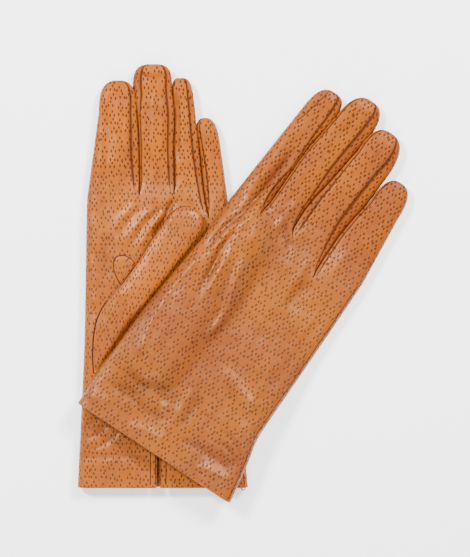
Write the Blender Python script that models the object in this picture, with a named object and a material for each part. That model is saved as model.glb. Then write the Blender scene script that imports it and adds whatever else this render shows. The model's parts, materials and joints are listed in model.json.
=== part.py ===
"""A pair of soft leather dress gloves, lying flat one across the other.

Run with: blender --background --python part.py

The left glove lies palm up on the table. The right glove lies back up across its wrist, and its
free thumb is folded in between the two. Every glove is drawn flat in its own frame, in millimetres:
u runs across the hand from the index side to the little-finger side, v runs from the cuff to the
fingertips, and w is the height, with the palm and the thumb uppermost. A Glove then turns that
frame to its place on the table. The right glove is turned over first, and settles on what is below.

Each leather piece is an open surface that a Solidify modifier thickens inwards.
"""

import math
from dataclasses import dataclass

import bmesh
import bpy
from mathutils import Vector

MM = 0.001

# Leather, in millimetres
LEATHER = 0.9
TURNED_STRIP = 0.7
STRIP_GAP = 0.35
SEAM_GAP = 0.6

# Hand: its thickness, and the rounding of its side edges, in steps inwards from the edge
HAND_THICK = 9.0
EDGE_ROUND = 6.0
EDGE_STEPS = (0.0, 0.15, 1.1, 3.2, EDGE_ROUND)
FLAT_FROM, FLAT_TO = -37.0, 32.0

# Cuff: the turned hem, and the vent in the middle of the palm side with its two facings
HEM_DEPTH = 16.0
HEM_INSET = 0.6
HEM_SIDE_ROOM = 1.5
FACING_WIDTH = 6.5
VENT_WIDTH = 2.4
VENT_LENGTH = 42.0

# Fingers: a side wall (fourchette) takes up WALL_HALF_ANGLE degrees of the section each way, and
# closes from this share of the finger's straight length on. The shares are the sections' places.
WALL_HALF_ANGLE = 38.0
WALL_CLOSES_FROM = 0.62
NARROWEST_WALL = 3
SECTION_POWER = 2.5
SECTION_TURN = 0.7
STRAIGHT_SHARES = (0.0, 0.22, 0.44, 0.66, 0.86)
ROUND_SHARES = (0.0, 0.45, 0.78, 0.96)
TIP_THICK = 3.6
TIP_HALF_WIDTH = 3.0
TIP_FALL = 0.7
STALL_SEGMENTS, STRIP_SEGMENTS, WALL_SEGMENTS, ROOT_SEGMENTS = 12, 5, 2, 6

# Thumb: its stall, the hood that joins it to the palm, and the quirk, a tongue let in beside it
THUMB_THICK = 8.4
THUMB_CLEARANCE = 0.4
THUMB_SHARES = (0.0, 0.2, 0.4, 0.6, 0.75, 0.87, 0.95, 0.99)
THUMB_ROUNDS_FROM = 0.7
HOOD_CLEARANCE = 1.0
HOOD_INSET = 0.4
HOOD_SEGMENTS = 6
QUIRK_HALF_WIDTH = 8.0
QUIRK_ALONG = (0.0, 0.35, 0.7, 0.92)
QUIRK_ACROSS = (-1.0, -0.5, 0.0, 0.5, 1.0)

# How the right glove lies on the left one: raised by REST_HEIGHT up to REST_EDGE_X, and down on the
# table from REST_FLOOR_X on. Over its folded thumb it is lifted by a hill.
REST_HEIGHT = HAND_THICK + 0.4
REST_EDGE_X = -0.8
REST_FLOOR_X = 51.2
THUMB_LIFT = THUMB_THICK + THUMB_CLEARANCE
HILL_TOP, HILL_FOOT = 6.5, 26.0

COLOURS = {
    "leather": (0.66, 0.30, 0.12, 1.0),
    "fourchette_leather": (0.52, 0.22, 0.09, 1.0),
    "hem_leather": (0.60, 0.29, 0.13, 1.0),
}


@dataclass
class Finger:
    """A finger's outline in its glove's frame: its sides at the root and at the shoulder, and its tip."""

    root_left: float
    root_right: float
    shoulder_v: float
    left: float
    right: float
    tip_u: float
    tip_v: float


@dataclass
class Thumb:
    """A thumb in its glove's frame: base is where its line starts, turned by turn degrees from +v.

    hood lists (u, v, half width, height) from the stall down to the wrist, hole is the opening in the
    palm (u from, u to, v from, v to), and quirk is (u, v, length).
    """

    base: tuple
    turn: float
    length: float
    half_width: float
    hood: list
    hole: tuple
    quirk: tuple


@dataclass
class Glove:
    """The driving dimensions of one glove, and the way from its own frame to the table.

    origin is the cuff's middle on the table, and heading is degrees clockwise from +Y. The fingers
    start at knuckle_v, except that the gap at fork (u, v) reaches deeper. Each edge is a line of
    (v, u) points, and step is the widest spacing of the hand's own grid.
    """

    side: str
    palm_up: bool
    origin: tuple
    heading: float
    knuckle_v: float
    fork: tuple
    fingers: dict
    left_edge: list
    right_edge: list
    vent_u: float
    thumb: Thumb
    step: float

    def over_thumb(self, u, v):
        """1 over the folded thumb, falling to 0 around it: how far the hand is lifted there."""
        base, tip = self.thumb.hood[-1][:2], self.thumb_point(self.thumb.length - HILL_TOP)
        along = Vector(tip) - Vector(base)
        share = (Vector((u, v)) - Vector(base)).dot(along) / along.length_squared
        nearest = Vector(base) + along * min(max(share, 0.0), 1.0)
        return 1 - smooth_step(HILL_TOP, HILL_FOOT, (Vector((u, v)) - nearest).length)

    def thumb_point(self, distance, sideways=0.0):
        """A point of the thumb's own line, in the glove's frame."""
        turn = math.radians(self.thumb.turn)
        u, v = self.thumb.base
        return (
            u + distance * math.sin(turn) + sideways * math.cos(turn),
            v + distance * math.cos(turn) - sideways * math.sin(turn),
        )

    def finger_pivot(self, finger):
        """The middle of a finger's hinge, level with the highest point of the finger's root."""
        width = finger.root_right - finger.root_left
        upper = HAND_THICK if self.palm_up else 0.0
        across = [finger.root_left + width * i / ROOT_SEGMENTS for i in range(ROOT_SEGMENTS + 1)]
        root = [self.to_table(u, self.knuckle_v, upper) for u in across]
        return Vector((*root[ROOT_SEGMENTS // 2].xy, max(point.z for point in root)))

    def thumb_pivot(self):
        """The middle of the thumb's hinge, across its root on the side away from the palm."""
        away = HAND_THICK + THUMB_CLEARANCE + THUMB_THICK
        return self.to_table(*self.thumb_point(0), away, free_thumb=True)

    def to_table(self, u, v, w, free_thumb=False):
        """A point of the glove's frame, in metres on the table."""
        heading = math.radians(self.heading)
        x = self.origin[0] + u * math.cos(heading) + v * math.sin(heading)
        y = self.origin[1] - u * math.sin(heading) + v * math.cos(heading)
        if self.palm_up:
            return Vector((x, y, w)) * MM
        below = REST_HEIGHT * (1 - smooth_step(REST_EDGE_X, REST_FLOOR_X, x))
        lifted = 1.0 if free_thumb else self.over_thumb(u, v)
        return Vector((x, y, HAND_THICK - w + below + THUMB_LIFT * lifted)) * MM


def smooth_step(low, high, value):
    share = min(max((value - low) / (high - low), 0.0), 1.0)
    return share * share * (3 - 2 * share)


def along_line(points, value):
    """The second number of a line of (position, number) points, at a position."""
    for (low, a), (high, b) in zip(points, points[1:]):
        if value <= high:
            return a + (b - a) * (value - low) / (high - low)
    return points[-1][1]


def spaced(low, high, step):
    """Positions from low to high, evenly spaced, no further apart than step."""
    count = max(1, math.ceil((high - low) / step - 1e-6))
    return [low + (high - low) * i / count for i in range(count + 1)]


def material(name):
    found = bpy.data.materials.get(name)
    if found:
        return found
    made = bpy.data.materials.new(name)
    made.use_nodes = True
    shader = made.node_tree.nodes["Principled BSDF"]
    shader.inputs["Base Color"].default_value = COLOURS[name]
    shader.inputs["Roughness"].default_value = 0.45
    shader.inputs["Metallic"].default_value = 0.0
    return made


def leather_piece(name, rows, cores, keep=None, thick=LEATHER, look="leather", pivot=Vector()):
    """A grid of points as a surface, thickened towards the core point of each of its rows.

    keep(i, j) says whether the cell between rows i and i + 1, columns j and j + 1 has leather.
    pivot is the object's origin: a moving piece has it on its hinge.
    """
    shape = bmesh.new()
    grid = [[shape.verts.new(point - pivot) for point in row] for row in rows]
    facing_out = 0.0
    for i in range(len(grid) - 1):
        for j in range(len(grid[i]) - 1):
            if keep is None or keep(i, j):
                face = shape.faces.new((grid[i][j], grid[i][j + 1], grid[i + 1][j + 1], grid[i + 1][j]))
                face.normal_update()
                outwards = face.calc_center_median() + pivot - cores[i]
                facing_out += face.normal.dot(outwards) * face.calc_area()
    if facing_out < 0:
        bmesh.ops.reverse_faces(shape, faces=shape.faces)
    loose = [vert for vert in shape.verts if not vert.link_faces]
    bmesh.ops.delete(shape, geom=loose, context="VERTS")
    mesh = bpy.data.meshes.new(name)
    shape.to_mesh(mesh)
    shape.free()
    piece = bpy.data.objects.new(name, mesh)
    piece.location = pivot
    bpy.context.scene.collection.objects.link(piece)
    solid = piece.modifiers.new("thickness", "SOLIDIFY")
    solid.thickness = thick * MM
    solid.offset = -1.0
    solid.use_even_offset = True
    mesh.materials.append(material(look))
    mesh.shade_smooth()
    mesh.set_sharp_from_angle(angle=math.radians(40))
    return piece


def edge_height(distance):
    """Height of the hand's upper surface above its middle, at a distance from its side edge."""
    share = min(distance / EDGE_ROUND, 1.0)
    return (HAND_THICK / 2) * math.sqrt(max(0.0, 1 - (1 - share) ** 2))


def hand_sheet(glove, palm_side):
    """The palm or the back of the hand: from the cuff to the knuckles, edge to edge."""
    up = 1 if palm_side else -1
    hole, slot = glove.thumb.hole, SEAM_GAP
    vent = (glove.vent_u - VENT_WIDTH / 2, glove.vent_u + VENT_WIDTH / 2)
    fork_u, fork_v = glove.fork
    marks = [FLAT_FROM, hole[0], hole[1], *vent, fork_u - slot, fork_u + slot, FLAT_TO]
    inner = refined(marks, glove.step)
    levels = [0.0, HEM_DEPTH, VENT_LENGTH, hole[2], hole[3], fork_v, glove.knuckle_v - SEAM_GAP / 2]
    v_lines = refined(levels, glove.step)
    rows, cores = [], []
    for v in v_lines:
        left, right = along_line(glove.left_edge, v), along_line(glove.right_edge, v)
        cores.append(glove.to_table((left + right) / 2, v, HAND_THICK / 2))
        u_line = [left + d for d in EDGE_STEPS] + inner + [right - d for d in reversed(EDGE_STEPS)]
        heights = [edge_height(min(u - left, right - u)) for u in u_line]
        middle = HAND_THICK / 2 + up * SEAM_GAP / 2
        rows.append([glove.to_table(u, v, clamp_height(middle + up * h)) for u, h in zip(u_line, heights)])
    first = len(EDGE_STEPS)

    def keep(i, j):
        if not first <= j < first + len(inner) - 1:
            return True
        u = (inner[j - first] + inner[j - first + 1]) / 2
        v = (v_lines[i] + v_lines[i + 1]) / 2
        in_vent = palm_side and vent[0] < u < vent[1] and v < VENT_LENGTH
        in_hole = palm_side and hole[0] < u < hole[1] and hole[2] < v < hole[3]
        in_slot = abs(u - fork_u) < slot and v > fork_v
        return not (in_vent or in_hole or in_slot)

    name = f"{glove.side}_{'palm' if palm_side else 'back'}"
    return leather_piece(name, rows, cores, keep)


def refined(marks, step):
    """The marks in order, with evenly spaced positions added so that none are further apart than step."""
    ordered = sorted(marks)
    out = [ordered[0]]
    for low, high in zip(ordered, ordered[1:]):
        out += spaced(low, high, step)[1:]
    return out


def clamp_height(w):
    return min(max(w, 0.0), HAND_THICK)


def section_point(half_width, half_height, degrees):
    """A point of a finger's rounded section: 0 degrees is the little-finger side, 90 the palm."""
    c, s = math.cos(math.radians(degrees)), math.sin(math.radians(degrees))
    power = 2 / SECTION_POWER
    return (
        math.copysign(abs(c) ** power, c) * half_width,
        math.copysign(abs(s) ** power, s) * half_height,
    )


def seam_angle(half_width, half_height):
    """The angle that half a seam's gap takes up in a section, measured where the section turns most."""
    return math.degrees(SECTION_TURN * SEAM_GAP / min(half_width, half_height))


def finger_stations(finger, start):
    """(v, middle u, half width, half height) along a finger, closer together at the tip."""
    shoulder = finger.shoulder_v
    straight = [start + (shoulder - start) * share for share in STRAIGHT_SHARES]
    rounded = [shoulder + (finger.tip_v - shoulder) * share for share in ROUND_SHARES]
    out = []
    for v in straight + rounded:
        share = min((v - start) / (shoulder - start), 1.0)
        closing = max(0.0, (v - shoulder) / (finger.tip_v - shoulder))
        shrink = math.sqrt(1 - closing * closing)
        left = finger.root_left + (finger.left - finger.root_left) * share
        right = finger.root_right + (finger.right - finger.root_right) * share
        middle = (left + right) / 2 + (finger.tip_u - (finger.left + finger.right) / 2) * closing
        half_width = max((right - left) / 2 * shrink, TIP_HALF_WIDTH)
        half_height = max(HAND_THICK / 2 * shrink ** TIP_FALL, TIP_THICK / 2)
        out.append((v, middle, half_width, half_height))
    return out


def wall_angle(share):
    """Half the angle that a side wall takes up, which closes towards the fingertip."""
    return WALL_HALF_ANGLE * (1 - smooth_step(WALL_CLOSES_FROM, 1.0, share))


def finger_strip(glove, name, finger, edges, segments, look="leather"):
    """A strip of a finger from root to tip. edges(wall) gives its two edges, in degrees of the section,
    from half the angle of a side wall, with the seam's gap taken off it or added to it."""
    stations = finger_stations(finger, glove.knuckle_v + SEAM_GAP / 2)
    start, shoulder = stations[0][0], finger.shoulder_v
    is_wall = look == "fourchette_leather"
    rows, cores = [], []
    for v, middle, half_width, half_height in stations:
        angle = wall_angle((v - start) / (shoulder - start))
        gap = seam_angle(half_width, half_height)
        if is_wall and angle < NARROWEST_WALL * gap:
            break
        first, last = edges(angle - gap if is_wall else angle + gap)
        row = []
        for k in range(segments + 1):
            degrees = first + (last - first) * k / segments
            du, dw = section_point(half_width, half_height, degrees)
            row.append(glove.to_table(middle + du, v, HAND_THICK / 2 + dw))
        rows.append(row)
        cores.append(glove.to_table(middle, v, HAND_THICK / 2))
    return leather_piece(name, rows, cores, look=look, pivot=glove.finger_pivot(finger))


def make_finger(glove, finger_name, finger):
    """The leather of one finger: palm and back strips, and the side walls towards its neighbours."""
    side = f"{glove.side}_{finger_name}"
    if finger_name == "index":
        finger_strip(glove, f"{side}_stall", finger, lambda wall: (wall, 360 - wall), STALL_SEGMENTS)
    elif finger_name == "little":
        little_strip(glove, f"{side}_palm_strip", finger, True)
        little_strip(glove, f"{side}_back_strip", finger, False)
    else:
        finger_strip(glove, f"{side}_palm_strip", finger, lambda wall: (wall, 180 - wall), STRIP_SEGMENTS)
        finger_strip(
            glove, f"{side}_back_strip", finger, lambda wall: (180 + wall, 360 - wall), STRIP_SEGMENTS
        )
    if finger_name != "little":
        side_wall(glove, f"{side}_outer_fourchette", finger, 0)
    if finger_name != "index":
        side_wall(glove, f"{side}_inner_fourchette", finger, 180)


def side_wall(glove, name, finger, facing):
    """The fourchette that closes a finger's side towards its neighbour."""
    finger_strip(
        glove, name, finger, lambda wall: (facing - wall, facing + wall), WALL_SEGMENTS, "fourchette_leather"
    )


def little_strip(glove, name, finger, palm_side):
    """The little finger's strips meet each other at the outer seam, without a side wall."""
    stations = finger_stations(finger, glove.knuckle_v + SEAM_GAP / 2)
    start, shoulder = stations[0][0], finger.shoulder_v
    up = 1 if palm_side else -1
    rows = []
    cores = [glove.to_table(middle, v, HAND_THICK / 2) for v, middle, _, _ in stations]
    for v, middle, half_width, half_height in stations:
        gap = seam_angle(half_width, half_height)
        inner = 180 - wall_angle((v - start) / (shoulder - start)) - gap
        row = []
        for k in range(STRIP_SEGMENTS + 1):
            degrees = up * (gap + (inner - gap) * k / STRIP_SEGMENTS)
            du, dw = section_point(half_width, half_height, degrees)
            row.append(glove.to_table(middle + du, v, HAND_THICK / 2 + dw))
        rows.append(row)
    return leather_piece(name, rows, cores, pivot=glove.finger_pivot(finger))


def make_thumb(glove):
    """The thumb's stall, the hood that joins it to the palm, and the quirk beside it."""
    thumb = glove.thumb
    floor = HAND_THICK + THUMB_CLEARANCE
    half_height = THUMB_THICK / 2
    rows, cores = [], []
    for share in THUMB_SHARES:
        distance = SEAM_GAP / 2 + share * (thumb.length - SEAM_GAP / 2)
        cores.append(glove.to_table(*glove.thumb_point(distance), floor + half_height, free_thumb=True))
        closing = max(0.0, (share - THUMB_ROUNDS_FROM) / (1 - THUMB_ROUNDS_FROM))
        shrink = math.sqrt(1 - closing * closing)
        half_width = max(thumb.half_width * shrink, TIP_HALF_WIDTH)
        height = max(half_height * shrink ** TIP_FALL, TIP_THICK / 2)
        gap = seam_angle(half_width, height)
        row = []
        for k in range(STALL_SEGMENTS + 1):
            degrees = gap + (360 - 2 * gap) * k / STALL_SEGMENTS
            sideways, dw = section_point(half_width, height, degrees)
            u, v = glove.thumb_point(distance, sideways)
            row.append(glove.to_table(u, v, floor + half_height + dw, free_thumb=True))
        rows.append(row)
    leather_piece(f"{glove.side}_thumb_stall", rows, cores, pivot=glove.thumb_pivot())
    rows, cores = [], []
    for u, v, half_width, height, turn in hood_stations(glove):
        cores.append(glove.to_table(u, v, floor))
        row = []
        for k in range(HOOD_SEGMENTS + 1):
            sideways, dw = section_point(half_width, height, 180 * k / HOOD_SEGMENTS)
            across = math.radians(turn)
            side_u, side_v = u + sideways * math.cos(across), v - sideways * math.sin(across)
            row.append(glove.to_table(side_u, side_v, HAND_THICK + HOOD_CLEARANCE + dw))
        rows.append(row)
    leather_piece(f"{glove.side}_thumb_base", rows, cores)
    quirk(glove)


def hood_stations(glove):
    """(u, v, half width, height, turn) of the hood, from just behind the stall down to the wrist."""
    thumb = glove.thumb
    u, v = glove.thumb_point(-SEAM_GAP / 2)
    height = THUMB_THICK + THUMB_CLEARANCE - HOOD_CLEARANCE
    out = [(u, v, thumb.half_width - HOOD_INSET, height, thumb.turn)]
    for u, v, half_width, height in thumb.hood:
        before = out[-1]
        turn = math.degrees(math.atan2(before[0] - u, before[1] - v))
        out.append((u, v, half_width, height, turn))
    return out


def quirk(glove):
    """The quirk: a small rounded tongue of leather let in beside the thumb."""
    base_u, base_v, length = glove.thumb.quirk
    turn = math.radians(glove.thumb.turn)
    rise = HAND_THICK + HOOD_CLEARANCE
    rows = []
    for along in QUIRK_ALONG:
        width = QUIRK_HALF_WIDTH * math.sqrt(1 - along * along)
        row = []
        for across in QUIRK_ACROSS:
            du = -along * length * math.cos(turn) + across * width * math.sin(turn)
            dv = along * length * math.sin(turn) + across * width * math.cos(turn)
            row.append(glove.to_table(base_u + du, base_v + dv, rise + TURNED_STRIP))
        rows.append(row)
    cores = [glove.to_table(base_u, base_v, 0)] * len(rows)
    leather_piece(f"{glove.side}_thumb_quirk", rows, cores, thick=TURNED_STRIP)


def flat_strip(glove, name, u_range, v_range, palm_side):
    """A strip turned in at the cuff, or along the vent, against the inside of the hand sheet."""
    depth = LEATHER + STRIP_GAP
    w = HAND_THICK - depth if palm_side else depth
    rows = [
        [glove.to_table(u, v, w) for u in spaced(*u_range, glove.step)]
        for v in spaced(*v_range, glove.step)
    ]
    cores = [glove.to_table(sum(u_range) / 2, v, HAND_THICK / 2) for v in spaced(*v_range, glove.step)]
    leather_piece(name, rows, cores, thick=TURNED_STRIP, look="hem_leather")


def make_cuff(glove):
    """The hem turned in round the cuff, and the facings on both sides of the vent."""
    side = glove.side
    low, high = HEM_INSET, HEM_DEPTH - 1
    left = along_line(glove.left_edge, 0) + EDGE_ROUND + HEM_SIDE_ROOM
    right = along_line(glove.right_edge, 0) - EDGE_ROUND - HEM_SIDE_ROOM
    near, far = VENT_WIDTH / 2 + SEAM_GAP, VENT_WIDTH / 2 + SEAM_GAP + FACING_WIDTH
    vent = glove.vent_u
    flat_strip(glove, f"{side}_back_hem", (left, right), (low, high), False)
    flat_strip(glove, f"{side}_palm_hem_index_side", (left, vent - far - SEAM_GAP), (low, high), True)
    flat_strip(glove, f"{side}_palm_hem_little_side", (vent + far + SEAM_GAP, right), (low, high), True)
    flat_strip(glove, f"{side}_vent_facing_index_side", (vent - far, vent - near), (low, VENT_LENGTH), True)
    flat_strip(glove, f"{side}_vent_facing_little_side", (vent + near, vent + far), (low, VENT_LENGTH), True)


def make_glove(glove):
    hand_sheet(glove, True)
    hand_sheet(glove, False)
    make_cuff(glove)
    for finger_name, finger in glove.fingers.items():
        make_finger(glove, finger_name, finger)
    make_thumb(glove)


LEFT = Glove(
    side="left",
    palm_up=True,
    origin=(-45.96, -120.48),
    heading=0.0,
    knuckle_v=171.0,
    fork=(26.4, 157.0),
    fingers={
        "index": Finger(-44.6, -14.7, 221.0, -38.4, -17.6, -27.8, 240.0),
        "middle": Finger(-13.4, 5.2, 232.0, -16.8, 5.2, -5.8, 250.0),
        "ring": Finger(6.4, 25.8, 224.0, 6.4, 17.8, 11.0, 241.0),
        "little": Finger(27.0, 38.2, 204.0, 22.2, 33.8, 26.6, 218.0),
    },
    left_edge=[(0, -50.4), (45, -48.2), (93, -46.3), (163, -45.1), (171, -44.8)],
    right_edge=[(0, 50.4), (60, 45.0), (140, 40.5), (171, 38.4)],
    vent_u=-2.6,
    thumb=Thumb(
        base=(-19.2, 112.4),
        turn=37.5,
        length=64.0,
        half_width=8.9,
        hood=[(-26.5, 100.5, 7.6, 7.6), (-33.2, 86.0, 6.0, 5.0), (-37.2, 74.0, 4.2, 2.6)],
        hole=(-29.0, -19.5, 98.0, 110.0),
        quirk=(-21.8, 125.4, 12.0),
    ),
    step=22.0,
)

RIGHT = Glove(
    side="right",
    palm_up=False,
    origin=(-50.96, -99.08),
    heading=33.4,
    knuckle_v=150.0,
    fork=(22.3, 136.0),
    fingers={
        "index": Finger(-44.0, -24.4, 214.0, -38.0, -20.6, -31.0, 235.0),
        "middle": Finger(-23.2, -0.6, 224.0, -18.8, 3.8, -9.5, 243.0),
        "ring": Finger(0.6, 21.7, 214.0, 5.0, 25.6, 12.4, 233.0),
        "little": Finger(23.0, 48.4, 195.0, 27.0, 44.4, 33.2, 212.0),
    },
    left_edge=[(0, -53.0), (26, -52.6), (62, -51.4), (97, -48.0), (123, -45.2), (150, -44.2)],
    right_edge=[(0, 54.0), (22, 50.5), (44, 46.8), (77, 47.6), (114, 48.4), (150, 48.8)],
    vent_u=-1.0,
    thumb=Thumb(
        base=(-29.0, 76.0),
        turn=1.0,
        length=64.0,
        half_width=10.0,
        hood=[(-29.5, 66.0, 9.2, 7.4), (-30.2, 55.0, 7.6, 5.4), (-31.0, 45.0, 5.0, 2.8)],
        hole=(-36.0, -22.0, 60.0, 75.0),
        quirk=(-40.2, 92.0, 8.0),
    ),
    step=7.0,
)


def build():
    for leftover in list(bpy.data.objects):
        bpy.data.objects.remove(leftover, do_unlink=True)
    make_glove(LEFT)
    make_glove(RIGHT)


build()
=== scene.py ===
"""The looks of a pair of tan leather dress gloves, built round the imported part.

Every glove is drawn flat in its own frame, in millimetres, as the part is: u runs across the hand from
the index side to the little-finger side, v from the cuff to the fingertips, and w is the height, with the
palm uppermost. The skin of a hand and its fingers is one set of grids, welded where they meet, so that
the shading runs on from piece to piece. Glove.to_table then lays it on the table.
"""

import json
import math
from dataclasses import dataclass

import bpy
import numpy as np
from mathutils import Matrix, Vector
from mathutils.bvhtree import BVHTree


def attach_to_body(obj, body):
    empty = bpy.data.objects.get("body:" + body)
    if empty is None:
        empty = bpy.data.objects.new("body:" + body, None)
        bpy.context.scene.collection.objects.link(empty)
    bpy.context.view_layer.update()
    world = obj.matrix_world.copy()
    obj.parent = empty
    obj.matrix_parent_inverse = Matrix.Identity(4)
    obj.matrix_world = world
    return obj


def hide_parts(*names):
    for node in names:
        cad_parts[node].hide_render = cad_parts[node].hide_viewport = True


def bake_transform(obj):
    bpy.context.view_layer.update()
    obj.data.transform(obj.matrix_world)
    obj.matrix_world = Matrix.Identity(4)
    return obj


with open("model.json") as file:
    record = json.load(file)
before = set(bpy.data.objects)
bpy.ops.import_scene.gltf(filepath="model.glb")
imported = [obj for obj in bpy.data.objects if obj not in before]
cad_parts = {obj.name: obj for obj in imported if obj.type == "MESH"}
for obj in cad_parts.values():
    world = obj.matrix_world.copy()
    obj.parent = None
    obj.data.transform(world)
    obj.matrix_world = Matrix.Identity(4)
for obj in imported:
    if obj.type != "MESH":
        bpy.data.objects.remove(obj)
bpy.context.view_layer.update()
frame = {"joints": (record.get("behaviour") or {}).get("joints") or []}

MM = 0.001

# Leather, in millimetres. A panel narrower than FULL_WIDTH has smaller edges
LEATHER = 0.8
HEM_LEATHER = 0.7
QUIRK_LEATHER = 0.5
FULL_WIDTH = 15.0
EDGE_LAND = 0.9
SEAM_DENT = 0.75
SEAM_REACH, SEAM_LOW = 8.0, 0.8
SEAM_STEP = 0.7
WALL_FULLNESS = 0.55
WALL_PUFF = 0.35
WALL_LEAN = 0.8
WALL_SHADE = 0.45
WALL_SHADE_POWER = 12
TIP_SHADE = 0.5
SHADES = ("seam", "valley", "dull")

# From the fork of two fingers, their walls open over this length and their seams show over this one
FORK_OPENING = 5.0
FORK_SHOWING = 12.0

# The fingers are duller than the hand from this far beyond the knuckles
DULL_REACH = 22.0

# Where each part's places across the leather start, so that no two parts have the same pores
BACK_START, WALL_START, WALL_SPACING, THUMB_START = 300, 600, 40, 900
HEM_START, FACING_START, QUIRK_START = 1200, 1300, 1500

# Hand and fingers
THICK = 9.0
MIDDLE = THICK / 2
EDGE_ROUND = 6.0
ROW_STEP = 1.5
PANEL_COLUMNS = 17
EDGE_COLUMNS = 6
WALL_COLUMNS = 8
TIP_ROWS = 14
TIP_BLUNT = 2.6
TIP_FALL = 0.7
HALF_GAP = 0.05
HIDDEN_INSET, HIDDEN_REACH = 1.7, 8.0
HEM_DEPTH = 16.0
VENT_LENGTH = 42.0
VENT_HALF_WIDTH = 1.1
VENT_MARK = 2

# Thumb
THUMB_FLOOR = THICK + 0.4
THUMB_TOP = THUMB_FLOOR + 8.4
THUMB_MIDDLE = (THUMB_FLOOR + THUMB_TOP) / 2
THUMB_COLUMNS = 40
THUMB_STRAIGHT = 0.78
THUMB_BLUNT = 2.3
THUMB_ROUND = 0.8
HOOD_STEPS = 7
HOOD_ROOT_LIFT, HOOD_SINK = 0.9, -0.15
HOOD_FREE_ROWS = 12

# How the right glove lies on the left one, as in the part
REST_HEIGHT = THICK + 0.4
REST_EDGE_X, REST_FLOOR_X = -0.8, 51.2
THUMB_LIFT = 8.8
HILL_TOP, HILL_FOOT = 6.5, 26.0
HILL_START = (-31.0, 45.0)

FINGER_NAMES = ("index", "middle", "ring", "little")

joints = {joint["name"]: joint for joint in frame["joints"]}


def unit(vectors):
    return vectors / np.maximum(np.linalg.norm(vectors, axis=1, keepdims=True), 1e-12)


def smooth_step(low, high, value):
    share = np.clip((np.asarray(value, float) - low) / (high - low), 0.0, 1.0)
    return share * share * (3 - 2 * share)


def curve(points, value):
    """A smooth line through (position, number) points, read at positions, that doesn't overshoot."""
    places, numbers = np.array(points, float).T
    value = np.asarray(value, float)
    if len(places) == 2:
        return np.interp(value, places, numbers)
    steps = np.diff(places)
    slope = np.diff(numbers) / steps
    tangent = np.concatenate([slope[:1], np.zeros(len(slope) - 1), slope[-1:]])
    same_way = slope[:-1] * slope[1:] > 0
    total = np.where(same_way, slope[:-1] + slope[1:], 1.0)
    tangent[1:-1] = np.where(same_way, 2 * slope[:-1] * slope[1:] / total, 0.0)
    i = np.clip(np.searchsorted(places, value) - 1, 0, len(steps) - 1)
    t = np.clip((value - places[i]) / steps[i], 0.0, 1.0)
    rise = numbers[i + 1] - numbers[i]
    a, b = steps[i] * tangent[i], steps[i] * tangent[i + 1]
    return numbers[i] + t * (a + t * (3 * rise - 2 * a - b + t * (a + b - 2 * rise)))


def distances(points):
    """How far along a path of points each one is."""
    return np.concatenate([[0.0], np.cumsum(np.linalg.norm(np.diff(points, axis=0), axis=1))])


def smooth_path(points, count=28):
    """A smooth path of count points through a few (u, v) points."""
    points = np.array(points, float)
    along = distances(points)
    at = np.linspace(0, along[-1], count)
    return np.stack([curve(list(zip(along, points[:, k])), at) for k in (0, 1)], axis=1)


@dataclass
class Gap:
    """The gap between two fingers. line is (v, u) from the fork up, and outer and inner are the visible
    widths of the side walls of the finger before it and after it, as (v, width)."""

    line: list
    outer: list
    inner: list

    @property
    def fork_v(self):
        return self.line[0][0]


@dataclass
class Finger:
    """A finger's sides at its shoulder, where its tip starts to round off, and its tip."""

    shoulder_v: float
    left: float
    right: float
    tip_u: float
    tip_v: float
    blunt: float = TIP_BLUNT


@dataclass
class Thumb:
    """A thumb lying on the palm. left and right are its half widths as (distance, width), hood is
    (left u, left v, right u, right v, height above the palm) down to the wrist, and quirk is the outline
    of the tongue of leather let in beside it, from one end of its root to the other."""

    turn: float
    length: float
    base: tuple
    left: list
    right: list
    hood: list
    quirk: list


@dataclass
class Fold:
    """A crease (height below 0) or ridge of the leather along a path of (u, v) points."""

    path: list
    width: float
    height: float
    fade: float = 0.25


@dataclass
class Glove:
    side: str
    palm_up: bool
    knuckle_v: float
    knuckle_u: float
    left_edge: list
    right_edge: list
    vent_u: float
    gaps: list
    fingers: list
    thumb: Thumb
    folds: list
    waves: tuple
    tip_seam: tuple = ()

    def place(self):
        """The glove's heading and origin, from the hinge of its middle finger."""
        hinge = joints[f"{self.side}_middle_bend"]
        self.across = np.array([hinge["axis"][0], hinge["axis"][1]])
        self.along = np.array([-self.across[1], self.across[0]])
        knuckle = np.array(hinge["pos_m"][:2]) / MM
        self.origin = knuckle - self.across * self.knuckle_u - self.along * self.knuckle_v

    def thumb_point(self, distance, sideways=0.0):
        turn = math.radians(self.thumb.turn)
        u, v = self.thumb.base
        return (
            u + distance * math.sin(turn) + sideways * math.cos(turn),
            v + distance * math.cos(turn) - sideways * math.sin(turn),
        )

    def over_thumb(self, u, v):
        """1 over the folded thumb, falling to 0 around it."""
        base = np.array(HILL_START)
        tip = np.array(self.thumb_point(self.thumb.length - HILL_TOP))
        line = tip - base
        offset = np.stack([u, v], axis=-1) - base
        share = np.clip(offset @ line / (line @ line), 0.0, 1.0)
        away = np.linalg.norm(offset - share[..., None] * line, axis=-1)
        return 1 - smooth_step(HILL_TOP, HILL_FOOT, away)

    def to_table(self, points, free=0.0):
        """Points (u, v, w) in metres on the table. free is 1 for the thumb, which keeps its own level."""
        u, v, w = np.moveaxis(np.asarray(points, float), -1, 0)
        flat = self.origin + u[..., None] * self.across + v[..., None] * self.along
        if self.palm_up:
            z = w
        else:
            below = REST_HEIGHT * (1 - smooth_step(REST_EDGE_X, REST_FLOOR_X, flat[..., 0]))
            lifted = self.over_thumb(u, v)
            z = THICK - w + below + THUMB_LIFT * (lifted + (1 - lifted) * free)
        return np.concatenate([flat, z[..., None]], axis=-1) * MM

    def from_table(self, point):
        """The (u, v) under a table point in metres."""
        offset = np.asarray(point[:2]) / MM - self.origin
        return offset @ self.across, offset @ self.along

    def up_sign(self, palm_side):
        """1 where a sheet's outer side looks up on the table."""
        return 1 if palm_side == self.palm_up else -1


# ---------------------------------------------------------------- skins


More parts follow.
